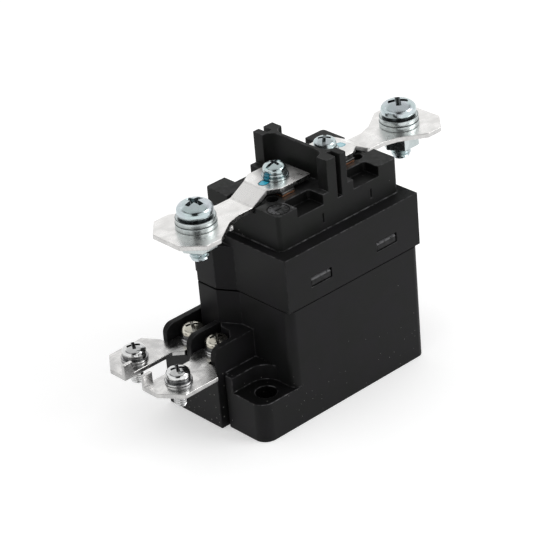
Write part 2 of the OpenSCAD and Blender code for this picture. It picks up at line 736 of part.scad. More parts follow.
module contact_block() {
    px = plinth_l / 2;
    py = plinth_w / 2;
    ox = ix - chamber_gap;
    oy = iy - chamber_gap;
    wall_top = plinth_top + wall_up;
    flange_x = cix - 0.2;
    flange_y = ciy - 0.2;
    chamber_x = ox - chamber_wall;
    chamber_y = oy - chamber_wall;
    lug_x = main_x + pad_back - 7.6;
    color([0.15, 0.15, 0.16]) difference() {
        union() {
            block([-ox, -oy, pole_top], [ox, oy, flange_top]);
            block([-flange_x, -flange_y, flange_top - flange_t], [flange_x, flange_y, flange_top]);
            translate([0, 0, flange_top - flange_t])
                linear_extrude(plinth_top - flange_top + flange_t) rounded(plinth_l, plinth_w, plinth_r);
            block([-wall_t / 2, -py, plinth_top - 1], [wall_t / 2, py, wall_top]);
            twice() translate([0, 0, plinth_top - 1]) linear_extrude(wall_up + 1) end_block_plan();
        }
        block([-chamber_x, -chamber_y, pole_top - 1], [chamber_x, chamber_y, ceiling]);
        for (sx = [-1, 1], sy = [-1, 1]) scale([sx, sy, 1]) {
            pocket();
            translate([core_hole_x, core_hole_y, plinth_top - core_hole_l]) cylinder(d = core_hole_d, h = core_hole_l + 1);
        }
        twice() {
            block([slot_x - slot_w / 2, -py - 1, plinth_top - slot_down], [slot_x + slot_w / 2, -py + slot_d, wall_top + 1]);
            rotate([90, 0, 0]) translate([0, 0, -neck_w / 2 - 1.2]) linear_extrude(neck_w + 2.4) channel_side();
            block([-strap_x0 - strap_t - fit, -strap_w / 2 - fit, ceiling - 1],
                [-strap_x0 + fit, strap_w / 2 + fit, plinth_top + 1]);
            translate([-clamp_x, 0, plinth_top - insert_l]) cylinder(d = insert_d + 2 * fit, h = insert_l + 1);
            translate([-clamp_x, 0, plinth_top - insert_l - 0.6]) cylinder(d = small_d + 0.6, h = insert_l);
        }
        translate([0, 0, ceiling - 1]) cylinder(d = rod_d + 2, h = stroke + 1.4);
        translate([-px + 3.5, -py + 3.5, plinth_top]) dial();
        for (x = [slit_x0, slit_x1]) {
            block([x - slit_w / 2, -py - 1, plinth_top - slit_down], [x + slit_w / 2, -py + slit_w, plinth_top - slit_down + slit_h]);
        }
    }
}

module busbar_front() {
    color([0.86, 0.85, 0.82]) busbar();
}

module busbar_rear() {
    color([0.86, 0.85, 0.82]) rotate([0, 0, 180]) busbar();
}

module fixed_contact_front() {
    color([0.72, 0.43, 0.28]) fixed_contact();
}

module fixed_contact_rear() {
    color([0.72, 0.43, 0.28]) rotate([0, 0, 180]) fixed_contact();
}

module fixed_tips() {
    color([0.8, 0.8, 0.8]) twice() translate([-tip_x, 0, fixed_tip_z]) cylinder(d = tip_d, h = tip_h);
}

module bridge() {
    reach = tip_x + bridge_end;
    color([0.72, 0.43, 0.28]) difference() {
        block([-reach, -bridge_w / 2, bridge_z], [reach, bridge_w / 2, bridge_top]);
        translate([0, 0, bridge_z - bridge_t]) cylinder(d = bush_d + 2 * fit, h = 3 * bridge_t);
    }
}

module bridge_tips() {
    color([0.8, 0.8, 0.8]) twice() translate([-tip_x, 0, bridge_top]) cylinder(d = tip_d, h = tip_h);
}

module bridge_bush() {
    color([0.85, 0.82, 0.7]) difference() {
        union() {
            translate([0, 0, bush_z]) cylinder(d = bush_flange_d, h = bush_flange);
            translate([0, 0, bush_z]) cylinder(d = bush_d, h = bush_top - bush_z);
            translate([0, 0, bridge_top]) cylinder(d = bush_flange_d, h = bush_flange);
        }
        translate([0, 0, bush_z - bush_flange]) cylinder(d = rod_d * 1.04, h = bush_top - bush_z + 2 * bush_flange);
    }
}

module rod_clip() {
    color([0.3, 0.3, 0.32]) translate([0, 0, bush_top + fit]) difference() {
        tube(clip_d, rod_d, clip_t - fit);
        block([0, -rod_d * 0.36, -1], [clip_d, rod_d * 0.36, clip_t + 1]);
    }
}

module contact_spring() {
    color([0.7, 0.7, 0.72]) spring(contact_d, contact_wire, seat_z + seat_t + fit, bush_z - fit, 3.5);
}

module spring_seat() {
    color([0.75, 0.75, 0.76]) translate([0, 0, seat_z]) tube(bush_flange_d, rod_d, seat_t);
}

module push_rod() {
    color([0.78, 0.78, 0.8]) translate([0, 0, rod_z]) cylinder(d = rod_d, h = rod_top - rod_z);
}

module plunger() {
    color([0.62, 0.62, 0.64]) difference() {
        translate([0, 0, plunger_z]) cylinder(d = plunger_d, h = plunger_top - plunger_z);
        translate([0, 0, rod_z]) cylinder(d = rod_d, h = plunger_top);
        translate([0, 0, plunger_top - seat_plunger]) cylinder(d = seat_d, h = seat_plunger + 1);
    }
}

module return_spring() {
    color([0.7, 0.7, 0.72])
        spring(return_d, return_wire, plunger_top - seat_plunger + fit, core_z + seat_core - fit, 7);
}

module bumper() {
    color([0.1, 0.1, 0.1]) translate([0, 0, yoke_z]) cylinder(d = tube_id - 1, h = bumper_t);
}

module core() {
    color([0.62, 0.62, 0.64]) difference() {
        union() {
            translate([0, 0, core_z]) cylinder(d = tube_id - 2 * fit, h = core_l);
            translate([0, 0, core_z]) cylinder(d = core_neck_d, h = core_l + yoke_t);
            translate([0, 0, pole_top]) cylinder(d = core_head_d, h = core_head_h);
        }
        translate([0, 0, core_z - 1]) cylinder(d = rod_bore, h = core_l + yoke_t + core_head_h + 2);
        translate([0, 0, core_z - 1]) cylinder(d = seat_d, h = seat_core + 1);
    }
}

module guide_tube() {
    color([0.78, 0.65, 0.35]) translate([0, 0, yoke_z + fit]) tube(tube_od, tube_id, pole_z - yoke_z - 2 * fit);
}

module bobbin() {
    color([0.2, 0.2, 0.2]) translate([0, 0, bobbin_z]) {
        tube(barrel_id + 2 * barrel_t, barrel_id, bobbin_h);
        tube(2 * flange_r, barrel_id, flange_b);
        translate([0, 0, bobbin_h - flange_b]) tube(2 * flange_r, barrel_id, flange_b);
    }
}

module winding() {
    h = bobbin_h - 2 * flange_b - 2 * fit;
    color([0.65, 0.35, 0.15]) translate([0, 0, bobbin_z + flange_b + fit])
        tube(2 * winding_r, barrel_id + 2 * barrel_t + 2 * fit, h);
}

module winding_tape() {
    h = bobbin_h - 2 * flange_b - 2 * fit;
    color([0.85, 0.8, 0.55]) translate([0, 0, bobbin_z + flange_b + fit])
        tube(2 * (winding_r + tape_t), 2 * winding_r + 2 * fit, h);
}

// Yoke: a strip bent up at both ends, with a tenon on top of each leg
module yoke() {
    r = yoke_t;
    color([0.72, 0.71, 0.68]) {
        block([-yoke_hx + r, -yoke_w / 2, floor_t], [yoke_hx - r, yoke_w / 2, yoke_z]);
        for (sx = [-1, 1]) scale([sx, 1, 1]) {
            block([yoke_hx - yoke_t, -yoke_w / 2, yoke_z], [yoke_hx, yoke_w / 2, pole_z]);
            translate([yoke_hx - r, -yoke_w / 2, yoke_z]) intersection() {
                rotate([-90, 0, 0]) cylinder(r = r, h = yoke_w);
                block([0, -1, -r], [r, yoke_w + 1, 0]);
            }
            block([yoke_hx - yoke_t, -yoke_w / 5, pole_z - 1], [yoke_hx, yoke_w / 5, pole_top]);
        }
    }
}

module pole_plate() {
    half_w = iy - magnet_gap;
    color([0.72, 0.71, 0.68]) difference() {
        block([-yoke_hx, -half_w, pole_z], [yoke_hx, half_w, pole_top]);
        translate([0, 0, pole_z - 1]) cylinder(d = core_neck_d + 2 * fit, h = yoke_t + 2);
        for (sx = [-1, 1]) scale([sx, 1, 1]) {
            block([yoke_hx - yoke_t - fit, -yoke_w / 5 - fit, pole_z - 1],
                [yoke_hx + 1, yoke_w / 5 + fit, pole_top + 1]);
        }
    }
}

// Wire that runs from point to point, with a ball at each bend
module wire(points) {
    for (i = [0:len(points) - 2]) {
        d = points[i + 1] - points[i];
        along = norm(d);
        translate(points[i]) {
            if (abs(d[2]) > 0) cylinder(d = lead_d, h = along, $fn = 24);
            else if (abs(d[0]) > 0) rotate([0, 90, 0]) cylinder(d = lead_d, h = along, $fn = 24);
            else rotate([-90, 0, 0]) cylinder(d = lead_d, h = along, $fn = 24);
            if (i > 0) sphere(d = lead_d, $fn = 24);
        }
    }
}

// Distance from the middle at which a lead wire meets a round surface that it ends at
function tape_x(r, y) = sqrt(r * r - (y - lead_d / 2) * (y - lead_d / 2));

module coil_leads() {
    x = -ix - 0.4 - lead_d / 2 - 0.2;
    y_near = term_y - term_pitch / 2 + tab_w / 2 - lead_d / 2;
    y_far = term_y + term_pitch / 2 - 1;
    y_run = y_far - 1.4;
    r = winding_r + tape_t + fit;
    z0 = coil_plate_z;
    z1 = pole_z - flange_b - 4;
    z2 = pole_z - flange_b - 1.6;
    color([0.7, 0.3, 0.15]) {
        wire([[x, y_near, z0], [x, y_near, z1], [x, y_run, z1], [-tape_x(r, y_run), y_run, z1]]);
        wire([[x, y_far, z0], [x, y_far, z2], [-tape_x(r, y_far), y_far, z2]]);
    }
}

// Thin tab that brings one coil lead out onto the shelf
module coil_tab() {
    difference() {
        block([tab_x0, term_pitch / 2 - tab_w / 2, shelf_h], [tab_x1, term_pitch / 2 + tab_w / 2, coil_plate_z]);
        translate([coil_screw_x, term_pitch / 2, shelf_h - 1]) cylinder(d = small_d + 2 * hole_gap, h = tab_t + 2);
    }
}

module coil_tab_near() {
    color([0.8, 0.68, 0.4]) translate([0, term_y, 0]) mirror([0, 1, 0]) coil_tab();
}

module coil_tab_far() {
    color([0.8, 0.68, 0.4]) translate([0, term_y, 0]) coil_tab();
}

// Terminal plate on the far side of the middle line: narrow between the barriers, wide outside them
module coil_plate() {
    y_mid = term_pitch / 2;
    in0 = y_mid - coil_plate_in_w / 2;
    in1 = y_mid + coil_plate_in_w / 2;
    x_in = coil_plate_x1;
    difference() {
        union() {
            translate([0, 0, coil_plate_z]) linear_extrude(coil_plate_t) polygon([
                [x_in, in0], [term_x - 0.6, in0], [term_x - 3.2, coil_plate_y0], [coil_end_x, coil_plate_y0],
                [coil_end_x, coil_plate_y1 - 6.6], [coil_end_x + 5, coil_plate_y1],
                [term_x - 3.8, coil_plate_y1], [term_x - 0.6, in1 + 2.6], [term_x - 0.6, in1],
                [x_in - 1.8, in1], [x_in, in1 - 3]]);
            block([coil_end_x, coil_plate_y0, coil_top - eps],
                [coil_end_x + lug_l, coil_plate_y0 + coil_plate_t * 0.8, coil_top + lug_h]);
        }
        translate([coil_hole_x, coil_hole_y, coil_plate_z - 1]) cylinder(d = small_d + 2 * fit, h = coil_plate_t + 2);
        translate([coil_screw_x, y_mid, coil_plate_z - 1]) cylinder(d = small_d + 2 * hole_gap, h = coil_plate_t + 2);
    }
}

module coil_plate_near() {
    color([0.86, 0.85, 0.82]) translate([0, term_y, 0]) mirror([0, 1, 0]) coil_plate();
}

module coil_plate_far() {
    color([0.86, 0.85, 0.82]) translate([0, term_y, 0]) coil_plate();
}

// A square nut with its bore
module square_nut() {
    difference() {
        block([-square_nut_w / 2, -square_nut_w / 2, 0], [square_nut_w / 2, square_nut_w / 2, square_nut_t]);
        translate([0, 0, -1]) cylinder(d = small_d + 2 * fit, h = square_nut_t + 2);
    }
}

module coil_nuts() {
    color([0.78, 0.76, 0.6]) coil_pair() translate([coil_screw_x, term_pitch / 2, nut_z]) square_nut();
}

// Places of the four coil screws on the far side and on the near side
module at_coil_outer() {
    for (s = [-1, 1]) translate([coil_hole_x, term_y + s * coil_hole_y, coil_top]) children();
}

module at_coil_inner() {
    for (s = [-1, 1]) translate([coil_screw_x, term_y + s * term_pitch / 2, coil_top]) children();
}

module coil_outer_screws() {
    color([0.8, 0.8, 0.82]) at_coil_outer() translate([0, 0, small_stack]) rotate([0, 0, 60])
        pan_screw(small_d, small_head_d, small_head_h, coil_out_len, false);
}

module coil_inner_screws() {
    color([0.82, 0.79, 0.66]) at_coil_inner() translate([0, 0, small_stack]) rotate([0, 0, 60])
        pan_screw(small_d, small_head_d, small_head_h, coil_in_len, true);
}

module small_split() {
    translate([0, 0, small_flat_t]) split_washer(small_head_d, small_d + 2 * fit, small_split_t);
}

module small_flat() {
    tube(small_washer_d, small_d + 2 * fit, small_flat_t);
}

module coil_spring_washers() {
    color([0.75, 0.75, 0.77]) {
        at_coil_outer() small_split();
        at_coil_inner() small_split();
    }
}

module coil_flat_washers() {
    color([0.8, 0.8, 0.82]) {
        at_coil_outer() small_flat();
        at_coil_inner() tube(coil_plate_in_w - 0.1, small_d + 2 * fit, small_flat_t);
    }
}

// Large screw with the neck that shows between its head and its washers
module main_screw() {
    translate([0, 0, main_under]) {
        pan_screw(main_d, main_head_d, main_head_h, main_len, false);
        translate([0, 0, -0.7]) cylinder(d = main_d + 2.6, h = 0.7 + eps);
    }
}

module main_screws() {
    color([0.78, 0.8, 0.83]) {
        translate([-main_x, 0, 0]) rotate([0, 0, 5]) main_screw();
        translate([main_x, 0, 0]) rotate([0, 0, 50]) main_screw();
    }
}

module main_spring_washers() {
    color([0.7, 0.71, 0.74]) twice() translate([-main_x, 0, pad_top + main_washer_t])
        split_washer(main_washer_d - 0.3, main_d + 2 * fit, main_washer_t);
}

module main_flat_washers() {
    color([0.78, 0.8, 0.83]) twice() translate([-main_x, 0, pad_top])
        tube(main_washer_d, main_d + 2 * fit, main_washer_t);
}

module main_nuts() {
    color([0.76, 0.77, 0.8]) twice() translate([-main_x, 0, pad_z - main_nut_t]) difference() {
        cylinder(d = main_nut_af / cos(30), h = main_nut_t, $fn = 6);
        translate([0, 0, -1]) cylinder(d = main_d + 2 * fit, h = main_nut_t + 2);
    }
}

module clamp_screws() {
    color([0.82, 0.83, 0.85]) {
        translate([-clamp_x, 0, inner_top + small_stack]) rotate([0, 0, 2])
            pan_screw(small_d, small_head_d - 0.3, small_head_h, clamp_len, true);
        translate([clamp_x, 0, inner_top + small_stack]) rotate([0, 0, 42])
            pan_screw(small_d, small_head_d - 0.3, small_head_h, clamp_len, true);
    }
}

module clamp_spring_washers() {
    color([0.75, 0.75, 0.77]) twice() translate([-clamp_x, 0, inner_top]) small_split();
}

module clamp_flat_washers() {
    color([0.8, 0.8, 0.82]) twice() translate([-clamp_x, 0, inner_top]) small_flat();
}

module clamp_inserts() {
    color([0.8, 0.68, 0.4]) twice() translate([-clamp_x, 0, plinth_top - insert_l])
        tube(insert_d, small_d + 2 * fit, insert_l);
}

case_lower();
case_cover();
contact_block();
busbar_front();
busbar_rear();
fixed_contact_front();
fixed_contact_rear();
fixed_tips();
bridge();
bridge_tips();
bridge_bush();
rod_clip();
contact_spring();
spring_seat();
push_rod();
plunger();
return_spring();
bumper();
core();
guide_tube();
bobbin();
winding();
winding_tape();
yoke();
pole_plate();
coil_leads();
coil_tab_near();
coil_tab_far();
coil_plate_near();
coil_plate_far();
coil_nuts();
coil_outer_screws();
coil_inner_screws();
coil_spring_washers();
coil_flat_washers();
main_screws();
main_spring_washers();
main_flat_washers();
main_nuts();
clamp_screws();
clamp_spring_washers();
clamp_flat_washers();
clamp_inserts();
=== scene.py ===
"""Starter relay: fine shapes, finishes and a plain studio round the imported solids, laid out as an add-on."""

import functools
import math

import bmesh
import bpy
from bpy.props import FloatProperty, FloatVectorProperty, IntProperty, PointerProperty
from mathutils import Matrix, Vector


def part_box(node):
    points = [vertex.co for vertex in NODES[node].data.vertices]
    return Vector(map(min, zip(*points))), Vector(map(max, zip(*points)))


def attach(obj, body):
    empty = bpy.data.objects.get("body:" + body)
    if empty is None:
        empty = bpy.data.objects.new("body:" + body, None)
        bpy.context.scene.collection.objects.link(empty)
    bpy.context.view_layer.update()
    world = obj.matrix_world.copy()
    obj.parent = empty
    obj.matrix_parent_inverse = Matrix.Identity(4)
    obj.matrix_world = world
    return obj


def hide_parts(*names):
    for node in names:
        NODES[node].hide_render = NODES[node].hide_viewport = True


bl_info = {
    "name": "Starter Relay",
    "version": (1, 0, 0),
    "blender": (4, 5, 0),
    "location": "3D View > Sidebar > Relay",
    "description": "Dresses the packed solids of a starter relay with fine shapes, finishes and a studio",
    "category": "Object",
}

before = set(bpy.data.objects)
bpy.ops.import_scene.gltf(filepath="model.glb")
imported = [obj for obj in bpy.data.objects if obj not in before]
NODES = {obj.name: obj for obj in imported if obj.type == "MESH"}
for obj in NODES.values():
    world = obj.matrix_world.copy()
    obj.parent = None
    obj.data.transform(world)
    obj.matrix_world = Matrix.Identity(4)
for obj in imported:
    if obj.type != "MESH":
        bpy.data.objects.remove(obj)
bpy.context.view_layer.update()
MM = 0.001


# Sizes, colours and light


def in_mm(*sizes):
    """Sizes or places given in millimetres, in metres."""
    return tuple(size * MM for size in sizes)


def length(name, description, default):
    """A size in metres that a user may change."""
    shown = {"min": 0.0, "precision": 5, "unit": "LENGTH", "subtype": "DISTANCE"}
    return FloatProperty(name=name, description=description, default=default, **shown)


def amount(name, description, default, least=0.0):
    """A plain number that a user may change."""
    return FloatProperty(name=name, description=description, default=default, min=least)


def colour(name, description, default):
    """A linear colour that a user may change."""
    shown = {"size": 3, "min": 0.0, "max": 1.0, "subtype": "COLOR"}
    return FloatVectorProperty(name=name, description=description, default=default, **shown)


class RelaySizes(bpy.types.PropertyGroup):
    mould_edge: length("Moulded edge", "Radius of the moulded parts' edges", 0.22 * MM)
    strip_edge: length("Strip edge", "Radius of the stamped strips' edges", 0.2 * MM)
    strip_bend: length("Strip bend", "How far a bend of the busbars is rounded", 0.45 * MM)
    bead: length("Base bead", "Radius of the bead round the contact block's base", 0.2 * MM)
    main_head_height: length("Large head", "Height of the large screws' heads", 3.9 * MM)
    main_thread: length("Large thread", "Thread diameter of the large screws", 6 * MM)
    main_pitch: length("Large pitch", "Pitch of the large screws", 1.0 * MM)
    neck_diameter: length("Neck", "Diameter of the neck under the large heads", 8.6 * MM)
    neck_height: length("Neck height", "Height of the neck under the large heads", 0.7 * MM)
    small_head_height: length("Small head", "Height of the small screws' heads", 2.6 * MM)
    small_thread: length("Small thread", "Thread diameter of the small screws", 4 * MM)
    small_pitch: length("Small pitch", "Pitch of the small screws", 0.7 * MM)
    thread_depth: length("Thread depth", "Depth of the thread on a pitch of one millimetre", 0.5 * MM)
    washer_edge: length("Washer edge", "Radius of the washers' edges", 0.2 * MM)
    split_gap: length("Split", "Width of the split in a spring washer", 0.7 * MM)
    return_wire: length("Return spring wire", "Wire diameter of the return spring", 0.8 * MM)
    contact_wire: length("Contact spring wire", "Wire diameter of the contact spring", 0.8 * MM)
    coil_wire: length("Winding wire", "Wire diameter of the winding", 0.45 * MM)
    return_turns: amount("Return turns", "Turns of the return spring", 7.0, 1.0)
    contact_turns: amount("Contact turns", "Turns of the contact spring", 3.5, 1.0)
    knurls: IntProperty(name="Knurls", description="Ridges round each brass insert", default=28, min=6)


class RelayColours(bpy.types.PropertyGroup):
    case: colour("Case", "Black polyester of the case", (0.0119, 0.0114, 0.0128))
    block: colour("Contact block", "Black polyester of the contact block", (0.0150, 0.0150, 0.0155))
    plating: colour("Plating", "Tin plating of the busbars and coil plates", (0.93, 0.92, 0.905))
    zinc: colour("Zinc", "Zinc plating of the screws", (0.53, 0.63, 0.635))
    nickel: colour("Nickel", "Nickel plating of the inner coil screws", (0.72, 0.70, 0.62))
    copper: colour("Copper", "Bare copper of the contact straps", (0.72, 0.36, 0.2))
    paint: colour("Thread lock", "Thread-locking paint on the clamp screws", (0.018, 0.22, 0.31))


class RelayLight(bpy.types.PropertyGroup):
    top: amount("Top lamp", "Power of the lamp above in watts", 2.6)
    side: amount("Side lamp", "Power of the lamp on the right in watts", 1.7)
    left: amount("Left lamp", "Power of the lamp on the left in watts", 0.06)
    sky: amount("Fill", "Strength of the even fill light", 0.5)
    glow: amount("Floor white", "How much whiter the floor is seen than lit", 0.38)
    floor: colour("Floor", "Colour of the floor", (0.84, 0.84, 0.84))


# Node helpers


# Points of a made mesh that lie closer than this are one point
SAME_PLACE = 2e-6


class Graph:
    """Adds nodes to a tree, with each input given as a value or as another node's output."""

    def __init__(self, tree):
        self.tree = tree

    def put(self, socket, value):
        if isinstance(value, bpy.types.Node):
            value = value.outputs[0]
        if isinstance(value, bpy.types.NodeSocket):
            self.tree.links.new(value, socket)
        elif value is not None:
            socket.default_value = value

    def fill(self, node, **inputs):
        """Gives a node its inputs by name, with an underscore for each space."""
        for key, value in inputs.items():
            self.put(node.inputs[key.replace("_", " ")], value)

    def add(self, kind, inputs=None, **settings):
        node = self.tree.nodes.new(kind)
        for key, value in settings.items():
            setattr(node, key, value)
        for key, value in (inputs or {}).items():
            for one in value if isinstance(value, list) else [value]:
                self.put(node.inputs[key], one)
        return node

    def calc(self, operation, a, b=None, c=None, clamp=False):
        inputs = {0: a, 1: b, 2: c}
        return self.add("ShaderNodeMath", inputs, operation=operation, use_clamp=clamp).outputs[0]

    def times(self, a, b, clamp=False):
        return self.calc("MULTIPLY", a, b, clamp=clamp)

    def plus(self, a, b, clamp=False):
        return self.calc("ADD", a, b, clamp=clamp)

    def minus(self, a, b):
        return self.calc("SUBTRACT", a, b)

    def over(self, a, b):
        return self.calc("DIVIDE", a, b)

    def line(self, value, slope, start):
        """The value times a slope, plus a start."""
        return self.calc("MULTIPLY_ADD", value, slope, start)

    def vector(self, operation, a, b=None):
        node = self.add("ShaderNodeVectorMath", {0: a, 1: b}, operation=operation)
        return node.outputs["Value" if operation in ("LENGTH", "DISTANCE", "DOT_PRODUCT") else "Vector"]

    def split(self, vector):
        return self.add("ShaderNodeSeparateXYZ", {0: vector}).outputs

    def join(self, x=0.0, y=0.0, z=0.0):
        return self.add("ShaderNodeCombineXYZ", {0: x, 1: y, 2: z}).outputs[0]

    def ramp(self, value, low, high, to_low=0.0, to_high=1.0, smooth=True):
        kind = "SMOOTHSTEP" if smooth else "LINEAR"
        inputs = {0: value, 1: low, 2: high, 3: to_low, 4: to_high}
        return self.add("ShaderNodeMapRange", inputs, interpolation_type=kind).outputs[0]

    def mix(self, factor, a, b):
        """Two colours mixed, each another node's output or a red, green and blue."""
        a, b = ((*tone, 1.0) if isinstance(tone, tuple) else tone for tone in (a, b))
        return self.add("ShaderNodeMix", {0: factor, 6: a, 7: b}, data_type="RGBA").outputs[2]

    def noise(self, vector, scale, detail=2.0, roughness=0.5, distortion=0.0):
        node = self.add("ShaderNodeTexNoise")
        self.fill(node, Vector=vector, Scale=scale, Detail=detail, Roughness=roughness, Distortion=distortion)
        return node.outputs[0]

    def cells(self, vector, scale):
        return self.add("ShaderNodeTexVoronoi", {"Vector": vector, "Scale": scale}, feature="F1").outputs

    def bump(self, strength, distance, height):
        return self.add("ShaderNodeBump", {"Strength": strength, "Distance": distance, "Height": height})

    def table(self, value, points):
        """A table of (place, value) pairs from 0 to 1, read in straight lines."""
        node = self.add("ShaderNodeFloatCurve", {"Value": value})
        curve = node.mapping.curves[0]
        curve.points[0].location, curve.points[1].location = points[0], points[-1]
        for place in points[1:-1]:
            curve.points.new(*place)
        for point in curve.points:
            point.handle_type = "VECTOR"
        node.mapping.update()
        return node.outputs[0]

    def attribute(self, name):
        return self.add("ShaderNodeAttribute", attribute_name=name).outputs["Fac"]

    def position(self):
        return self.split(self.add("GeometryNodeInputPosition"))

    def lay(self, mesh, places):
        return self.add("GeometryNodeSetPosition", {"Geometry": mesh, "Position": places})

    def lift(self, mesh, rise):
        return self.add("GeometryNodeSetPosition", {"Geometry": mesh, "Offset": self.join(z=rise)})

    def box(self, x, y, z):
        return self.add("GeometryNodeMeshCube", {"Size": self.join(x, y, z)}).outputs["Mesh"]

    def boolean(self, operation, others, whole=None):
        inputs = {"Mesh 1": whole, "Mesh 2": others} if whole else {"Mesh 2": others}
        return self.add("GeometryNodeMeshBoolean", inputs, operation=operation, solver="EXACT")


SOCKETS = {float: "NodeSocketFloat", int: "NodeSocketInt", bool: "NodeSocketBool", tuple: "NodeSocketVector"}


def new_tree(kind, name, inputs, outputs):
    """A tree with named sockets, each given by its default or type: the tree, its Graph, its ins and outs."""
    tree = bpy.data.node_groups.new(name, kind)
    for label, default in inputs.items():
        sort = SOCKETS.get(type(default), default)
        socket = tree.interface.new_socket(name=label, in_out="INPUT", socket_type=sort)
        if sort != default:
            socket.default_value = default
    for label, sort in outputs.items():
        tree.interface.new_socket(name=label, in_out="OUTPUT", socket_type=sort)
    graph = Graph(tree)
    return tree, graph, graph.add("NodeGroupInput").outputs, graph.add("NodeGroupOutput").inputs


# Shader groups


def shader_group(name, inputs, *outputs):
    """A shader group that reads a place on the object and puts out values."""
    inputs = {"Vector": "NodeSocketVector", **inputs}
    return new_tree("ShaderNodeTree", name, inputs, dict.fromkeys(outputs, "NodeSocketFloat"))


def grain_group():
    """Fine moulded grain and slow clouds, from the place on the object."""
    inputs = {"Grain Scale": 3000.0, "Cloud Scale": 90.0}
    tree, g, i, o = shader_group("Moulded Grain", inputs, "Height", "Cloud")
    fine = g.noise(i["Vector"], i["Grain Scale"], 3.0, 0.6)
    pits = g.cells(i["Vector"], i["Grain Scale"])[0]
    g.put(o["Height"], g.line(pits, 0.35, fine))
    g.put(o["Cloud"], g.noise(i["Vector"], i["Cloud Scale"], 3.0, 0.55, 0.4))
    return tree


def edge_wear_and_light_group():
    """Where an edge of a moulding or strip takes a tone of its own, partly as wear and partly as painted
    highlight and shade, from the mesh's edge attribute and a broken noise.
    """
    tree, g, i, o = shader_group("Edge Wear", {"Amount": 0.5, "Scale": 700.0}, "Mask")
    broken = g.ramp(g.noise(i["Vector"], i["Scale"], 4.0, 0.65), 0.35, 0.7)
    g.put(o["Mask"], g.times(g.times(g.attribute("edge"), broken), i["Amount"], clamp=True))
    return tree


def dust_group():
    """Small scattered specks of dust, more of them low down."""
    inputs = {"Scale": 600.0, "Size": 0.2, "Share": 0.1}
    tree, g, i, o = shader_group("Dust Specks", inputs, "Mask")
    cells = g.cells(i["Vector"], i["Scale"])
    chance = g.split(cells["Color"])
    near = g.calc("LESS_THAN", cells["Distance"], g.times(i["Size"], chance[1]))
    low = g.ramp(g.split(i["Vector"])[2], 0.02, 0.011, 0.03, 1.0)
    g.put(o["Mask"], g.times(near, g.calc("LESS_THAN", chance[0], g.times(i["Share"], low))))
    return tree


def painted_shade_group():
    """Painted shade, where a face attribute of the mesh asks for it, broken by a noise."""
    tree, g, i, o = shader_group("Gap Grime", {"Amount": 1.0, "Scale": 1500.0}, "Mask")
    broken = g.ramp(g.noise(i["Vector"], i["Scale"], 2.0), 0.2, 0.6, 0.75, 1.0)
    g.put(o["Mask"], g.times(g.times(g.attribute("grime"), broken), i["Amount"], clamp=True))
    return tree


def streak_group():
    """Fine drawn or rolled lines along one direction."""
    tree, g, i, o = shader_group("Rolled Streaks", {"Stretch": (200.0, 4000.0, 4000.0)}, "Streak")
    g.put(o["Streak"], g.noise(g.vector("MULTIPLY", i["Vector"], i["Stretch"]), 1.0, 3.0, 0.6))
    return tree


def paint_group():
    """A ragged dab of paint round a centre; Thick tells its middle from its rim."""
    inputs = {"Centre": (0.0, 0.0, 0.0), "Reach": (0.002, 0.002, 0.002)}
    tree, g, i, o = shader_group("Paint Dab", inputs, "Mask", "Thick")
    away = g.vector("DIVIDE", g.vector("SUBTRACT", i["Vector"], i["Centre"]), i["Reach"])
    ragged = g.line(g.noise(i["Vector"], 900.0, 2.0), 0.55, g.vector("LENGTH", away))
    g.put(o["Mask"], g.ramp(ragged, 1.22, 1.16))
    g.put(o["Thick"], g.ramp(ragged, 1.1, 0.8))
    return tree


# Finishes


# Colours of the dust that settles on the relay, of the shade painted into gaps of the plastic and the metal,
# and of its pale insulating bush
DUST = (0.32, 0.31, 0.3)
PAINTED_GAP_SHADE = (0.001, 0.001, 0.001)
PAINTED_METAL_SHADE = (0.02, 0.022, 0.024)
PALE_NYLON = (0.62, 0.56, 0.42)

# How many of a metal's fine lines go to a metre along X, Y and Z
ROLLED = (250.0, 2500.0, 2500.0)
EVEN = (900.0, 900.0, 900.0)
STAMPED = (1500.0, 1500.0, 900.0)


def scaled(tone, share):
    """A colour made darker or brighter, up to white."""
    return tuple(min(1.0, part * share) for part in tone)


def blank_material(name):
    """A material with a Principled shader, its Graph and the place on the object."""
    material = bpy.data.materials.new(name)
    material.use_nodes = True
    material.node_tree.nodes.clear()
    g = Graph(material.node_tree)
    shader = g.add("ShaderNodeBsdfPrincipled")
    g.add("ShaderNodeOutputMaterial", {"Surface": shader})
    return material, g, shader, g.add("ShaderNodeTexCoord").outputs["Object"]


def use(g, name, **inputs):
    """Places a shared group in a material, with its inputs by name."""
    node = g.add("ShaderNodeGroup", node_tree=tree_of(name))
    g.fill(node, **inputs)
    return node.outputs


def plastic(name, base, rough, grain=2600.0, height=0.012, wear=0.5, dust=0.26, pale=(0.13, 0.13, 0.135)):
    """Moulded plastic: fine grain, slow clouds, edges paler as wear and painted highlight, painted shade in
    gaps and a little dust.
    """
    material, g, shader, place = blank_material(name)
    moulded = use(g, "grain", Vector=place, Grain_Scale=grain, Cloud_Scale=110.0)
    worn_and_lit_edge = use(g, "wear", Vector=place, Amount=wear, Scale=500.0)["Mask"]
    gaps = use(g, "grime", Vector=place)["Mask"]
    specks = use(g, "dust", Vector=place, Scale=900.0, Size=0.22, Share=dust)["Mask"]
    dark = (base[0] * 0.74, base[1] * 0.81, base[2] * 0.70)
    tone = g.mix(g.ramp(moulded["Cloud"], 0.3, 0.7), dark, base)
    # Paler edges: partly wear, partly a painted highlight
    tone = g.mix(worn_and_lit_edge, tone, pale)
    tone = g.mix(g.times(specks, 0.5), tone, DUST)
    # Painted shade in seams, gaps and hollows
    tone = g.mix(gaps, tone, PAINTED_GAP_SHADE)
    gloss = g.line(worn_and_lit_edge, -0.1, g.ramp(moulded["Cloud"], 0.25, 0.75, rough - 0.05, rough + 0.06))
    bump = g.bump(0.35, height * MM, moulded["Height"])
    g.fill(shader, Base_Color=tone, Roughness=gloss, Specular_IOR_Level=0.11, Normal=bump)
    return material


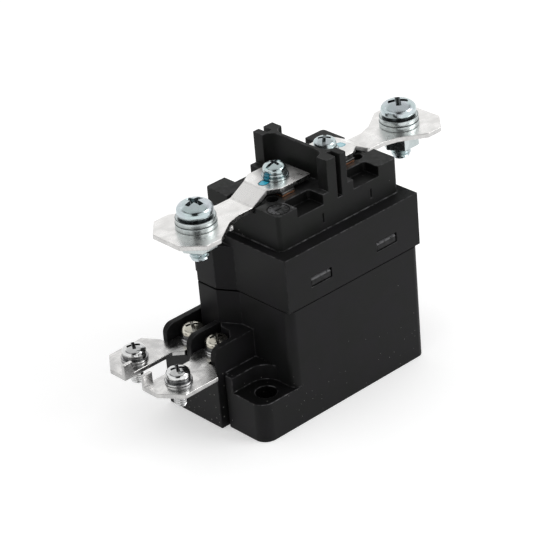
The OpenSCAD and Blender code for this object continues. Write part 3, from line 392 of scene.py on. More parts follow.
def metal(
    name, base, tint, rough, stretch=ROLLED, spread=0.1, height=0.004, wear=0.4, edge_tone=1.25, dabs=()
):
    """Plated or bare metal: rolled lines, cloudy plating, its edges in a tone of their own as wear and painted
    highlight and shade, painted shade in gaps and dabs of paint.
    """
    material, g, shader, place = blank_material(name)
    streak = use(g, "streak", Vector=place, Stretch=stretch)["Streak"]
    cloud = use(g, "grain", Vector=place, Grain_Scale=1500.0, Cloud_Scale=230.0)
    worn_and_lit_edge = use(g, "wear", Vector=place, Amount=wear, Scale=900.0)["Mask"]
    tone = g.mix(g.ramp(cloud["Cloud"], 0.3, 0.7), base, tint)
    tone = g.mix(g.ramp(streak, 0.35, 0.75, 0.0, 0.15), tone, scaled(base, 0.6))
    # Edges in their own tone: brighter ones are wear with a painted highlight, darker ones are painted shade
    tone = g.mix(worn_and_lit_edge, tone, scaled(base, edge_tone))
    # Painted shade under heads and between parts
    tone = g.mix(use(g, "grime", Vector=place)["Mask"], tone, PAINTED_METAL_SHADE)
    gloss = g.ramp(cloud["Cloud"], 0.25, 0.75, rough - spread, rough + spread)
    gloss = g.line(g.ramp(streak, 0.3, 0.8), 0.08, gloss)
    rise = g.line(streak, 0.6, g.times(cloud["Height"], 0.4))
    bare = 1.0
    for centre, reach, rim, heart in dabs:
        dab = use(g, "paint", Vector=place, Centre=centre, Reach=reach)
        # Paint with a painted highlight at its thick heart and a darker rim
        tone = g.mix(dab["Mask"], tone, g.mix(dab["Thick"], rim, heart))
        gloss = g.times(gloss, g.minus(1.0, g.times(dab["Mask"], 0.45)))
        rise = g.line(dab["Mask"], 6.0, rise)
        bare = g.times(bare, g.minus(1.0, dab["Mask"]))
    bump = g.bump(0.5, height * MM, rise)
    g.fill(shader, Base_Color=tone, Roughness=gloss, Metallic=bare, Normal=bump)
    return material


# The height below which a copper strap is bare, with the ragged band in which it turns dark
STRAP_BARE = 65.75 * MM
STRAP_DARK = 65.95 * MM
STRAP_RAGGED = 0.6 * MM


def strap_finish(plating, copper):
    """A copper strap, dark above and bare along its lower edge, by height."""
    material, g, shader, place = blank_material("Plated Copper Strap")
    cloud = use(g, "grain", Vector=place, Grain_Scale=1500.0, Cloud_Scale=400.0)
    height = g.line(g.minus(cloud["Cloud"], 0.5), STRAP_RAGGED, g.split(place)[2])
    tone = g.mix(g.ramp(height, STRAP_BARE, STRAP_DARK), scaled(copper, 1.1), scaled(plating, 0.12))
    gloss = g.ramp(cloud["Cloud"], 0.25, 0.75, 0.22, 0.4)
    bump = g.bump(0.5, 0.004 * MM, cloud["Height"])
    g.fill(shader, Base_Color=tone, Roughness=gloss, Metallic=1.0, Normal=bump)
    return material


def film(name, base, rough, coat, clear=0.0):
    """Varnished wire, film tape or rubber: a coloured body under a thin uneven coat."""
    material, g, shader, place = blank_material(name)
    cloud = use(g, "grain", Vector=place, Grain_Scale=900.0, Cloud_Scale=160.0)
    streak = use(g, "streak", Vector=place, Stretch=(300.0, 300.0, 2600.0))["Streak"]
    tone = g.mix(g.ramp(cloud["Cloud"], 0.3, 0.7), scaled(base, 0.6), base)
    gloss = g.ramp(streak, 0.3, 0.7, rough - 0.06, rough + 0.08)
    varnish = g.ramp(cloud["Cloud"], 0.2, 0.8, coat * 0.6, coat)
    bump = g.bump(0.4, 0.01 * MM, cloud["Height"])
    g.fill(shader, Base_Color=tone, Roughness=gloss, Metallic=clear, Coat_Weight=varnish, Normal=bump)
    return material


def paint_dabs(paint):
    """Thread-locking paint by the clamp screws: each dab's middle, its reach, its rim and its heart. Each
    heart is drawn brighter as a painted highlight on the thick paint, and each rim darker.
    """
    rim, heart = scaled(paint, 0.3), scaled(paint, 1.9)
    return (
        (in_mm(-14.9, -0.7, 68.0), in_mm(2.1, 1.7, 1.0), rim, heart),
        (in_mm(-13.4, -0.3, 69.2), in_mm(1.1, 1.5, 1.7), rim, paint),
        (in_mm(15.2, -0.7, 68.2), in_mm(1.7, 1.6, 1.4), (0.22, 0.45, 0.52), (0.42, 0.66, 0.72)),
    )


# Of each plain metal: name, two colours, roughness, lines, spread of the roughness and height of the lines
METALS = {
    "pale_zinc": ("Pale Zinc Screw", (0.78, 0.785, 0.78), (0.60, 0.605, 0.61), 0.11, EVEN, 0.05),
    "pale_washer": ("Pale Zinc Washer", (0.7, 0.705, 0.7), (0.58, 0.58, 0.59), 0.24, STAMPED, 0.08),
    "zinc_washer": ("Zinc Washer", (0.60, 0.65, 0.65), (0.48, 0.53, 0.53), 0.26, STAMPED, 0.08),
    "silver": ("Contact Silver", (0.85, 0.85, 0.83), (0.7, 0.69, 0.66), 0.3, (1200.0, 1200.0, 1200.0)),
    "spring": ("Spring Wire", (0.62, 0.62, 0.64), (0.5, 0.5, 0.52), 0.28, (2000.0, 2000.0, 2000.0)),
    "plated_steel": ("Plated Strip", (0.72, 0.71, 0.68), (0.6, 0.59, 0.55), 0.34),
    "rod": ("Ground Rod", (0.7, 0.7, 0.72), (0.6, 0.6, 0.62), 0.2, (3000.0, 3000.0, 200.0)),
    "iron": ("Turned Iron", (0.56, 0.56, 0.57), (0.46, 0.46, 0.47), 0.36, (300.0, 300.0, 5000.0), 0.1, 0.01),
    "brass": ("Drawn Brass", (0.78, 0.6, 0.3), (0.66, 0.48, 0.22), 0.28, (2000.0, 2000.0, 300.0)),
}


def make_finishes(colours):
    """Every finish of the relay, by the metal or material that it stands for."""
    keys = ("case", "block", "plating", "zinc", "nickel", "copper")
    case, block, plating, zinc, nickel, copper = (tuple(getattr(colours, key)) for key in keys)
    dabs = paint_dabs(tuple(colours.paint))
    # The busbars' and coil plates' edges take a darker tone: painted shade along their edges
    bright, dull_edges = scaled(plating, 0.88), {"wear": 0.9, "edge_tone": 0.7}
    return {
        "case": plastic("Case Polyester", case, 0.42),
        "block": plastic("Contact Block Polyester", block, 0.46, grain=2200.0, height=0.018),
        "strip": metal("Tin Plating", plating, (0.84, 0.83, 0.815), 0.28, dabs=dabs, **dull_edges),
        "coil_strip": metal("Bright Tin Plating", bright, (0.64, 0.635, 0.63), 0.2, **dull_edges),
        "strap": strap_finish(plating, copper),
        "zinc": metal("Zinc Screw", zinc, (0.57, 0.61, 0.65), 0.2, EVEN, 0.07),
        "zinc_clamp": metal("Zinc Clamp Screw", zinc, (0.56, 0.61, 0.64), 0.2, EVEN, 0.07, dabs=dabs),
        "nickel": metal("Nickel Screw", nickel, (0.60, 0.57, 0.49), 0.2, EVEN, 0.07),
        "copper": metal("Bare Copper", copper, (0.5, 0.24, 0.14), 0.32),
        **{key: metal(*values) for key, values in METALS.items()},
        "insulator": plastic("Polyamide", (0.12, 0.12, 0.12), 0.5, wear=0.2, dust=0.0),
        "bush": plastic("Pale Polyamide", PALE_NYLON, 0.45, wear=0.1, dust=0.0, pale=(0.7, 0.66, 0.55)),
        "rubber": film("Rubber", (0.03, 0.03, 0.03), 0.7, 0.0),
        "enamel": film("Enamelled Wire", (0.5, 0.2, 0.07), 0.25, 0.9, 0.6),
        "tape": film("Film Tape", (0.75, 0.6, 0.2), 0.22, 0.8),
    }


FINISHES = {}

CARRIED = {
    "fixed_tips": "silver",
    "bridge": "copper",
    "bridge_tips": "silver",
    "bridge_bush": "bush",
    "rod_clip": "spring",
    "spring_seat": "plated_steel",
    "push_rod": "rod",
    "plunger": "iron",
    "bumper": "rubber",
    "core": "iron",
    "guide_tube": "brass",
    "bobbin": "insulator",
    "winding_tape": "tape",
    "yoke": "plated_steel",
    "pole_plate": "plated_steel",
    "coil_leads": "enamel",
    "coil_tab_near": "brass",
    "coil_tab_far": "brass",
}


def give(piece, finish):
    """One finish all over a piece."""
    piece.data.materials.clear()
    piece.data.materials.append(FINISHES[finish])


# Meshes


# How far a made piece may stand from the box of the CAD node that it replaces
PLACE_TOLERANCE = 0.5 * MM

# The sharpest angle that is shaded smooth, in degrees: on soft shapes, on softened copies and on round wire
SMOOTH = 32
SMOOTH_COPY = 38
SMOOTH_ROUND = 60

# The least angle at which an edge is rounded, and the angles of a stamped strip's bends
SHARP = math.radians(28)
BEND = (math.radians(15), math.radians(50))

# The share of its neighbour faces' room that a rounded edge may take, and the least share worth rounding
ROOM_SHARE = 0.36
LEAST_SHARE = 0.12


def put_in_place(mesh, name, nodes, finish, body="housing"):
    """Makes a finished piece of a mesh, with its body and the CAD nodes whose place and box it takes."""
    for axis in range(3):
        places = [v.co[axis] for v in mesh.vertices]
        low = min(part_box(node)[0][axis] for node in nodes)
        high = max(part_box(node)[1][axis] for node in nodes)
        if max(abs(min(places) - low), abs(max(places) - high)) > PLACE_TOLERANCE:
            raise RuntimeError("%s leaves its place along axis %d" % (name, axis))
    piece = bpy.data.objects.new(name, mesh)
    bpy.context.scene.collection.objects.link(piece)
    give(piece, finish)
    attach(piece, body)
    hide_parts(*nodes)
    return piece


def mark(mesh, name, share):
    """Writes a face attribute that a function gives from each face's middle and normal."""
    layer = mesh.attributes.get(name) or mesh.attributes.new(name, "FLOAT", "FACE")
    layer.data.foreach_set("value", [share(face.center, face.normal) for face in mesh.polygons])


def faces_with_edge_wear_and_light(mesh):
    """Each face of a mesh with the share of edge wear and painted highlight that its edge attribute holds."""
    return zip(mesh.polygons, mesh.attributes["edge"].data)


def edges_lit_from_above(mesh):
    """Keeps the pale edges of a moulding on its upper edges, as a painted highlight where the light falls from
    above, and fades them on upright and lower ones.
    """
    for face, worn_and_lit_edge in faces_with_edge_wear_and_light(mesh):
        worn_and_lit_edge.value *= min(1.0, 0.2 + 1.6 * max(0.0, face.normal.z))


def shade(mesh, degrees):
    """Smooth shading, broken at edges that are sharper than the angle."""
    mesh.shade_smooth()
    mesh.set_sharp_from_angle(angle=math.radians(degrees))


def evaluated(mesh, add_modifiers):
    """The mesh after the modifiers that a function adds, as a plain new mesh."""
    holder = bpy.data.objects.new("holder", mesh)
    bpy.context.scene.collection.objects.link(holder)
    add_modifiers(holder)
    depsgraph = bpy.context.evaluated_depsgraph_get()
    ready = holder.evaluated_get(depsgraph)
    made = bpy.data.meshes.new_from_object(ready, preserve_all_data_layers=True, depsgraph=depsgraph)
    holder.modifiers.clear()
    bpy.data.objects.remove(holder)
    return made


def clean_copy(node):
    """The CAD node's mesh with its loose triangles joined into flat faces."""
    bm = bmesh.new()
    bm.from_mesh(NODES[node].data)
    bmesh.ops.remove_doubles(bm, verts=bm.verts, dist=SAME_PLACE)
    bmesh.ops.dissolve_degenerate(bm, edges=bm.edges, dist=1e-7)
    bmesh.ops.dissolve_limit(bm, angle_limit=math.radians(0.4), verts=bm.verts, edges=bm.edges)
    return bm


def plain_mesh(bm, name):
    """The finished bmesh as a mesh."""
    mesh = bpy.data.meshes.new(name)
    bm.to_mesh(mesh)
    bm.free()
    return mesh


def joined(meshes, name):
    """Several meshes as one."""
    bm = bmesh.new()
    for mesh in meshes:
        bm.from_mesh(mesh)
    return plain_mesh(bm, name)


def room_beside(edge):
    """How far an edge may be rounded before it meets another edge of its two faces."""
    along = (edge.verts[1].co - edge.verts[0].co).normalized()
    room = 1.0
    for face in edge.link_faces:
        for vert in edge.verts:
            for other in vert.link_edges:
                if other is edge or face not in other.link_faces:
                    continue
                way = other.verts[1].co - other.verts[0].co
                if way.length and abs(along.dot(way.normalized())) < 0.86:
                    room = min(room, way.length)
    return room


def beside_mark(middle, reach):
    """How wide an edge may be rounded near a round moulded mark: not on it, and little just outside it."""
    below, rim, outside, little = 0.5 * MM, 0.1 * MM, 0.6 * MM, 0.1 * MM

    def limit(a, b):
        if max(a.z, b.z) < middle.z - below:
            return 1.0
        along = (b - a).xy
        share = (middle.xy - a.xy).dot(along) / along.length_squared if along.length > 0 else 0.0
        away = (a.xy.lerp(b.xy, max(0.0, min(1.0, share))) - middle.xy).length
        return 0.0 if away < reach + rim else little if away < reach + outside else 1.0

    return limit


def softened(node, edge_width, bend_width=0.0, segments=2, limit=None):
    """A copy of the CAD node with its sharp edges rounded, each by no more than its faces have room for.

    The bends of a stamped strip, which run along Y between two flat stretches, may have a larger radius.
    """
    bm = clean_copy(node)
    width = max(edge_width, bend_width)
    weight = bm.edges.layers.float.new("bevel_weight_edge")
    for edge in bm.edges:
        if len(edge.link_faces) != 2:
            continue
        along = edge.verts[1].co - edge.verts[0].co
        angle = edge.calc_face_angle(0.0)
        bend = bend_width and abs(along.y) > 0.98 * along.length and BEND[0] < angle < BEND[1]
        if angle < SHARP and not bend:
            continue
        share = min(bend_width if bend else edge_width, ROOM_SHARE * room_beside(edge))
        if limit:
            share = min(share, limit(edge.verts[0].co, edge.verts[1].co))
        if share >= LEAST_SHARE * edge_width:
            edge[weight] = share / width
    mesh = plain_mesh(bm, node + "_clean")
    mesh.materials.clear()
    mesh.materials.append(None)
    mesh.materials.append(None)

    def round_edges(holder):
        bevel = holder.modifiers.new("Edges", "BEVEL")
        bevel.limit_method = "WEIGHT"
        bevel.width = width
        bevel.segments = segments
        bevel.use_clamp_overlap = False
        bevel.loop_slide = True
        bevel.material = 1

    rounded = evaluated(mesh, round_edges)
    marks = rounded.attributes.new("edge", "FLOAT", "FACE")
    marks.data.foreach_set("value", [float(p.material_index) for p in rounded.polygons])
    for polygon in rounded.polygons:
        polygon.material_index = 0
    shade(rounded, SMOOTH_COPY)

    def weigh(holder):
        normal = holder.modifiers.new("Normals", "WEIGHTED_NORMAL")
        normal.mode = "FACE_AREA"
        normal.weight = 90
        normal.keep_sharp = True

    final = evaluated(rounded, weigh)
    final.name = node + "_mesh"
    final.materials.clear()
    return final


# Geometry trees


def geometry_tree(name, inputs):
    """A tree that makes a piece, in a material, at each point of the mesh that it is used on."""
    inputs = {"Geometry": "NodeSocketGeometry", **inputs, "Material": "NodeSocketMaterial"}
    return new_tree("GeometryNodeTree", name, inputs, {"Geometry": "NodeSocketGeometry"})


def finish_tree(g, i, o, made):
    """Copies of the made geometry at the tree's points, each turned by its own angle, as one plain mesh."""
    turn = g.add("GeometryNodeInputNamedAttribute", {"Name": "turn"}, data_type="FLOAT").outputs[0]
    copies = g.add("GeometryNodeInstanceOnPoints")
    g.fill(copies, Points=i["Geometry"], Instance=made, Rotation=g.join(z=turn))
    real = g.add("GeometryNodeRealizeInstances", {0: copies})
    g.put(o[0], g.add("GeometryNodeSetMaterial", {"Geometry": real, "Material": i["Material"]}))


def bent_section(g, profile, around):
    """A grid to be bent round Z: itself, its turn from 0 to 1, and its section's shares out and up."""
    grid = g.add("GeometryNodeMeshGrid")
    g.fill(grid, Size_X=1.0, Size_Y=1.0, Vertices_X=len(profile), Vertices_Y=around)
    x, y, _ = g.position()
    along = g.plus(x, 0.5)
    last = len(profile) - 1
    shares = [g.table(along, [(k / last, point[side]) for k, point in enumerate(profile)]) for side in (0, 1)]
    return grid, g.plus(y, 0.5), *shares


def bend_round(g, grid, turn, out, up):
    """Bends the grid round Z at a radius and a height, and closes its seam and its poles."""
    angle = g.times(turn, -math.tau)
    spot = g.join(g.times(out, g.calc("COSINE", angle)), g.times(out, g.calc("SINE", angle)), up)
    return g.add("GeometryNodeMergeByDistance", {"Geometry": g.lay(grid, spot), "Distance": SAME_PLACE})


def cylinder(g, sides, diameter, height, **more):
    """An upright cylinder round the origin."""
    node = g.add("GeometryNodeMeshCylinder")
    g.fill(node, Vertices=sides, Radius=g.times(diameter, 0.5), Depth=height, **more)
    return node.outputs["Mesh"]


def zigzag(g, value):
    """From 0 to 1 and back at each whole step of a value."""
    return g.calc("ABSOLUTE", g.line(g.calc("FRACT", value), 2.0, -1.0))


# Half section of a pan head as shares of its radius and height: a flat seat, an upright rim and a dome
PAN_RIM = 0.36
DOME_ANGLES = [math.pi / 2 * k / 11 for k in range(12)]
PAN_DOME = [(math.cos(angle), PAN_RIM + (1 - PAN_RIM) * math.sin(angle)) for angle in DOME_ANGLES]
PAN_PROFILE = [(0.0, 0.0), (0.5, 0.0), (0.93, 0.0), (0.975, 0.015), (1.0, 0.07), (1.0, 0.2), *PAN_DOME]


def dome_height(out):
    """Height of the pan head's dome at a share of its radius."""
    for (outer, low), (inner, high) in zip(PAN_DOME, PAN_DOME[1:]):
        if inner <= out <= outer and outer > inner:
            return low + (high - low) * (outer - out) / (outer - inner)
    return 1.0


def threaded_shank(g, i, sunk):
    """The shank below a head, with a cut thread and a pointed end; its top is sunk into the head."""
    tall = g.plus(i["Length"], sunk)
    rings = g.times(g.over(tall, i["Pitch"]), 8.0)
    shank = cylinder(g, 36, i["Thread Diameter"], tall, Side_Segments=rings)
    shank = g.lift(shank, g.line(tall, -0.5, sunk))
    x, y, z = g.position()
    phase = g.minus(g.over(z, i["Pitch"]), g.over(g.calc("ARCTAN2", y, x), math.tau))
    ridge = g.ramp(zigzag(g, phase), 0.12, 0.88, smooth=False)
    started = g.ramp(z, g.times(i["Pitch"], -0.6), g.times(i["Pitch"], -1.4))
    cut = g.times(g.over(i["Thread Depth"], g.times(i["Thread Diameter"], 0.5)), started)
    tip = g.times(i["Length"], -1.0)
    pointed = g.ramp(z, tip, g.line(i["Thread Diameter"], 0.25, tip), 0.78, 1.0, smooth=False)
    share = g.times(g.minus(1.0, g.times(cut, ridge)), pointed)
    return g.lay(shank, g.join(g.times(x, share), g.times(y, share), z))


def driver_recess(g, i):
    """What is cut from a head: a tapered cross and, on a slotted screw, a slot right across."""
    head, tall = i["Head Diameter"], i["Head Height"]
    reach, wing, deep = g.times(head, 0.62), g.times(head, 0.15), g.times(tall, 1.3)
    bars = [g.lift(g.box(*sides, deep), tall) for sides in ((reach, wing), (wing, reach))]
    cone = g.add("GeometryNodeMeshCone")
    g.fill(cone, Vertices=32, Radius_Top=g.times(reach, 0.75), Radius_Bottom=g.times(reach, 0.25), Depth=deep)
    cone = g.lift(cone.outputs["Mesh"], g.line(tall, 1.0, g.times(deep, -0.5)))
    cross = g.boolean("INTERSECT", [g.boolean("UNION", bars), cone])
    slot = g.lift(g.box(g.times(head, 2.0), wing, tall), g.times(tall, 1.12))
    slot = g.add("GeometryNodeSwitch", {"Switch": i["Slotted"], "True": slot}, input_type="GEOMETRY")
    return g.boolean("UNION", [cross, slot])


def screw_tree():
    """A pan head screw with a cross recess, an optional slot, a neck and a cut thread."""
    inputs = {
        "Thread Diameter": 0.004,
        "Head Diameter": 0.007,
        "Head Height": 0.0026,
        "Length": 0.009,
        "Pitch": 0.0007,
        "Thread Depth": 0.0004,
        "Neck Diameter": 0.003,
        "Neck Height": 0.0001,
        "Slotted": False,
    }
    tree, g, i, o = geometry_tree("Pan Head Screw", inputs)
    grid, turn, out, up = bent_section(g, PAN_PROFILE, 65)
    out = g.times(out, g.times(i["Head Diameter"], 0.5))
    head = bend_round(g, grid, turn, out, g.times(up, i["Head Height"]))
    sunk = g.times(i["Head Height"], 0.1)
    high = g.plus(i["Neck Height"], sunk)
    neck = g.lift(cylinder(g, 48, i["Neck Diameter"], high), g.line(high, -0.5, sunk))
    whole = g.boolean("UNION", [head, threaded_shank(g, i, sunk), neck])
    finish_tree(g, i, o, g.boolean("DIFFERENCE", driver_recess(g, i), whole))
    return tree


def swept(g, path, section, caps=False):
    """A section carried along a path that lies flat."""
    path = g.add("GeometryNodeSetCurveNormal", {0: path}, mode="Z_UP")
    return g.add("GeometryNodeCurveToMesh", {"Curve": path, "Profile Curve": section, "Fill Caps": caps})


def circle(g, steps, radius):
    """A closed round curve."""
    inputs = {"Resolution": steps, "Radius": radius}
    return g.add("GeometryNodeCurvePrimitiveCircle", inputs, mode="RADIUS").outputs[0]


def soft_rectangle(g, width, height, steps, radius):
    """A closed curve: a rectangle with rounded corners."""
    sides = {"Width": width, "Height": height}
    curve = g.add("GeometryNodeCurvePrimitiveQuadrilateral", sides, mode="RECTANGLE")
    return g.add("GeometryNodeFilletCurve", {"Curve": curve, "Count": steps, "Radius": radius}, mode="POLY")


def washer_tree(split):
    """A washer with rounded edges: a whole ring, or a spring ring with a split."""
    inputs = {
        "Outer Diameter": 0.008,
        "Bore": 0.004,
        "Thickness": 0.0008,
        "Edge Radius": 0.0002,
        "Split": 0.0007,
    }
    tree, g, i, o = geometry_tree("Spring Washer" if split else "Flat Washer", inputs)
    steps = 72
    middle = g.times(g.plus(i["Outer Diameter"], i["Bore"]), 0.25)
    if split:
        opened = g.over(i["Split"], middle)
        arc = g.add("GeometryNodeCurveArc", mode="RADIUS")
        start, sweep = g.times(opened, 0.5), g.minus(math.tau, opened)
        g.fill(arc, Resolution=steps, Radius=middle, Start_Angle=start, Sweep_Angle=sweep)
        path = arc.outputs[0]
    else:
        path = circle(g, steps, middle)
    wide = g.times(g.minus(i["Outer Diameter"], i["Bore"]), 0.5)
    section = soft_rectangle(g, wide, i["Thickness"], 3, i["Edge Radius"])
    finish_tree(g, i, o, g.lift(swept(g, path, section, True), g.times(i["Thickness"], 0.5)))
    return tree


def bead_tree():
    """A round bead along a rounded rectangle."""
    inputs = {"Length": 0.046, "Width": 0.03, "Corner Radius": 0.0012, "Bead Radius": 0.0002}
    tree, g, i, o = geometry_tree("Base Bead", inputs)
    path = soft_rectangle(g, i["Length"], i["Width"], 6, i["Corner Radius"])
    finish_tree(g, i, o, swept(g, path, circle(g, 10, i["Bead Radius"])))
    return tree


def coil_tree():
    """Round wire wound into an evenly rising coil."""
    inputs = {
        "Outer Diameter": 0.008,
        "Wire": 0.0008,
        "Height": 0.01,
        "Turns": 6.0,
        "Steps": 28,
        "Sides": 10,
    }
    tree, g, i, o = geometry_tree("Wound Coil", inputs)
    radius = g.times(g.minus(i["Outer Diameter"], i["Wire"]), 0.5)
    path = g.add("GeometryNodeCurveSpiral")
    g.fill(path, Resolution=i["Steps"], Rotations=i["Turns"], Height=0.0)
    g.fill(path, Start_Radius=radius, End_Radius=radius)
    share = g.add("GeometryNodeSplineParameter").outputs["Factor"]
    rise = g.times(g.minus(i["Height"], i["Wire"]), share)
    x, y, _ = g.position()
    path = g.lay(path, g.join(x, y, g.line(i["Wire"], 0.5, rise)))
    section = circle(g, i["Sides"], g.times(i["Wire"], 0.5))
    wire = g.add("GeometryNodeCurveToMesh", {"Curve": path, "Profile Curve": section, "Fill Caps": True})
    finish_tree(g, i, o, wire)
    return tree


# Half section of an insert as shares of its wall and height: two knurled bands round a waist, and the bore
LOWER_BAND = [(0, 0), (0.86, 0), (1, 0.08), (1, 0.4), (0.8, 0.44)]
UPPER_BAND = [(0.8, 0.56), (1, 0.6), (1, 0.92), (0.86, 1), (0, 1)]
INSERT_PROFILE = [*LOWER_BAND, *UPPER_BAND, (0, 0.66), (0, 0.33), (0, 0)]


def knurl_tree():
    """A threaded insert: a ring with straight knurls outside and a waist round its middle."""
    inputs = {"Outer Diameter": 0.006, "Bore": 0.004, "Height": 0.0066, "Knurls": 28, "Depth": 0.0003}
    tree, g, i, o = geometry_tree("Knurled Insert", inputs)
    around = g.line(i["Knurls"], 4.0, 1.0)
    grid, turn, share, level = bent_section(g, INSERT_PROFILE, around)
    ridge = zigzag(g, g.times(turn, i["Knurls"]))
    cut = g.times(g.times(ridge, i["Depth"]), g.calc("GREATER_THAN", share, 0.9))
    wall = g.times(g.minus(i["Outer Diameter"], i["Bore"]), 0.5)
    out = g.minus(g.line(share, wall, g.times(i["Bore"], 0.5)), cut)
    finish_tree(g, i, o, bend_round(g, grid, turn, out, g.times(level, i["Height"])))
    return tree


TREE_MAKERS = {
    "grain": grain_group,
    "wear": edge_wear_and_light_group,
    "dust": dust_group,
    "grime": painted_shade_group,
    "streak": streak_group,
    "paint": paint_group,
    "screw": screw_tree,
    "flat": functools.partial(washer_tree, False),
    "split": functools.partial(washer_tree, True),
    "bead": bead_tree,
    "coil": coil_tree,
    "knurl": knurl_tree,
}


@functools.cache
def tree_of(name):
    """A shader group or a geometry tree, built the first time that it is asked for."""
    return TREE_MAKERS[name]()


def grown(kind, name, points, degrees=SMOOTH, **values):
    """A plain mesh from a geometry tree, at points given as (x, y, z, turn in degrees)."""
    mesh = bpy.data.meshes.new(name + "_points")
    mesh.from_pydata([p[:3] for p in points], [], [])
    turns = mesh.attributes.new("turn", "FLOAT", "POINT")
    turns.data.foreach_set("value", [math.radians(p[3]) for p in points])
    tree = tree_of(kind)
    sockets = [s for s in tree.interface.items_tree if s.item_type == "SOCKET" and s.in_out == "INPUT"]
    keys = {s.name.replace(" ", "_"): s.identifier for s in sockets}

    def grow(holder):
        modifier = holder.modifiers.new(name, "NODES")
        modifier.node_group = tree
        for key, value in values.items():
            modifier[keys[key]] = value

    made = evaluated(mesh, grow)
    if not made.polygons:
        raise RuntimeError(name + " came out empty")
    made.name = name + "_mesh"
    shade(made, degrees)
    return made


# Places of the fasteners, from the frame


def pair_along(axis, node):
    """Diameter, bottom, top and the two middles of a node's pair that lies along X (0) or Y (1)."""
    low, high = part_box(node)
    other = 1 - axis
    wide = high[other] - low[other]
    middle = (low[other] + high[other]) / 2
    ends = (low[axis] + wide / 2, high[axis] - wide / 2)
    return wide, low.z, high.z, [(middle, end) if axis else (end, middle) for end in ends]


def share_out(place, middles, wide):
    """How far a place lies from the nearest of some middles, as a share of their radius."""
    return min(math.dist(place.xy, middle) for middle in middles) / (wide / 2)


# Operators


class RelayOperator(bpy.types.Operator):
    """What every operator of the relay shares"""

    bl_idname = "relay.base"
    bl_label = "Relay"
    bl_options = {"REGISTER", "UNDO"}

    @property
    def sizes(self):
        return bpy.context.scene.relay_sizes

    @property
    def colours(self):
        return bpy.context.scene.relay_colours


class RELAY_OT_finishes(RelayOperator):
    """Makes every finish and gives the inner parts theirs"""

    bl_idname = "relay.finishes"
    bl_label = "Finishes and Inner Parts"

    def execute(self, context):
        FINISHES.update(make_finishes(self.colours))
        for node, finish in CARRIED.items():
            give(NODES[node], finish)
            shade(NODES[node].data, SMOOTH)
        return {"FINISHED"}


# Latch windows: how far out their walls stand, and the stretches along X and up Z that hold them all
WINDOW_WALL = 17.6 * MM
WINDOWS_ALONG = in_mm(5, 20)
WINDOWS_HIGH = in_mm(41, 46)


def window_gap(place, way):
    """Painted shade in the gap at the two ends of each latch tongue."""
    beside = abs(way.x) > 0.9 and abs(place.y) > WINDOW_WALL
    along = WINDOWS_ALONG[0] < abs(place.x) < WINDOWS_ALONG[1]
    return 1.0 if beside and along and WINDOWS_HIGH[0] < place.z < WINDOWS_HIGH[1] else 0.0


# Latch tongues: how far out their wall and their face stand, how far above the seam their wall's painted
# highlight edges begin, and the heights of their face above the seam
TONGUE_WALL = 18.5 * MM
TONGUE_FACE = 19 * MM
TONGUE_START = 2 * MM
TONGUE_SPAN = in_mm(4, 9)

# The rim of the lower case below the cover's seam, as heights from the seam
SEAM_SPAN = in_mm(-0.4, 0.2)

# The feet at two corners: where they begin along X and Y, their top, the walls beside them and their holes
FOOT_START = in_mm(26, 7.3)
FOOT_TOP = 12.6 * MM
FOOT_WALL_END = 26.2 * MM
FOOT_WALL_SPAN = in_mm(12, 18)
FOOT_BORE = Vector(in_mm(32.3, 13.9))
FOOT_BORE_REACH = 3.4 * MM


class RELAY_OT_lower_case(RelayOperator):
    """Makes the lower case with its rounded edges"""

    bl_idname = "relay.lower_case"
    bl_label = "Lower Case"

    def wear(self, mesh, seam):
        """Paints highlights on the latch tongues' sloped tops and faces and on the walls beside the feet, and
        keeps them off the rim in the seam, which stays dark.
        """
        for face, worn_and_lit_edge in faces_with_edge_wear_and_light(mesh):
            x, y, z = abs(face.center.x), abs(face.center.y), face.center.z
            upright = abs(face.normal.y) > 0.9
            if z > seam + TONGUE_START and y > TONGUE_WALL and 0.1 < face.normal.z < 0.97:
                worn_and_lit_edge.value = 5.0
            elif y > TONGUE_FACE and upright and seam + TONGUE_SPAN[0] < z < seam + TONGUE_SPAN[1]:
                worn_and_lit_edge.value = 0.3
            elif seam + SEAM_SPAN[0] < z < seam + SEAM_SPAN[1]:
                worn_and_lit_edge.value = 0.0
            elif x > FOOT_WALL_END and FOOT_WALL_SPAN[0] < z < FOOT_WALL_SPAN[1]:
                worn_and_lit_edge.value *= 2.6

    def execute(self, context):
        mesh = softened("case_lower", self.sizes.mould_edge)
        edges_lit_from_above(mesh)
        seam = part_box("case_cover")[0].z
        self.wear(mesh, seam)

        # Painted shade in the seam under the cover, on the feet's floors, in their bores and in the latch
        # windows' gaps
        def painted_shade_share(place, way):
            if way.z > 0.9 and abs(place.z - seam) < 0.2 * MM:
                return 1.0
            if abs(place.x) > FOOT_START[0] and place.y * place.x > 0 and abs(place.y) > FOOT_START[1]:
                if way.z > 0.9 and abs(place.z - FOOT_TOP) < 0.1 * MM:
                    return 0.55
                out = (Vector((abs(place.x), abs(place.y))) - FOOT_BORE).length
                if out < FOOT_BORE_REACH and abs(way.z) < 0.3:
                    return 0.8
            return window_gap(place, way)

        mark(mesh, "grime", painted_shade_share)
        put_in_place(mesh, "lower_case", ["case_lower"], "case")
        return {"FINISHED"}


class RELAY_OT_cover(RelayOperator):
    """Makes the cover with its rounded edges and latch windows"""

    bl_idname = "relay.cover"
    bl_label = "Cover"

    def execute(self, context):
        mesh = softened("case_cover", self.sizes.mould_edge)
        edges_lit_from_above(mesh)
        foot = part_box("case_cover")[0].z
        # Painted shade along the cover's foot at the seam, and in the latch windows' gaps
        mark(mesh, "grime", lambda place, way: 0.9 if place.z < foot + 0.5 * MM else window_gap(place, way))
        put_in_place(mesh, "cover", ["case_cover"], "case")
        return {"FINISHED"}


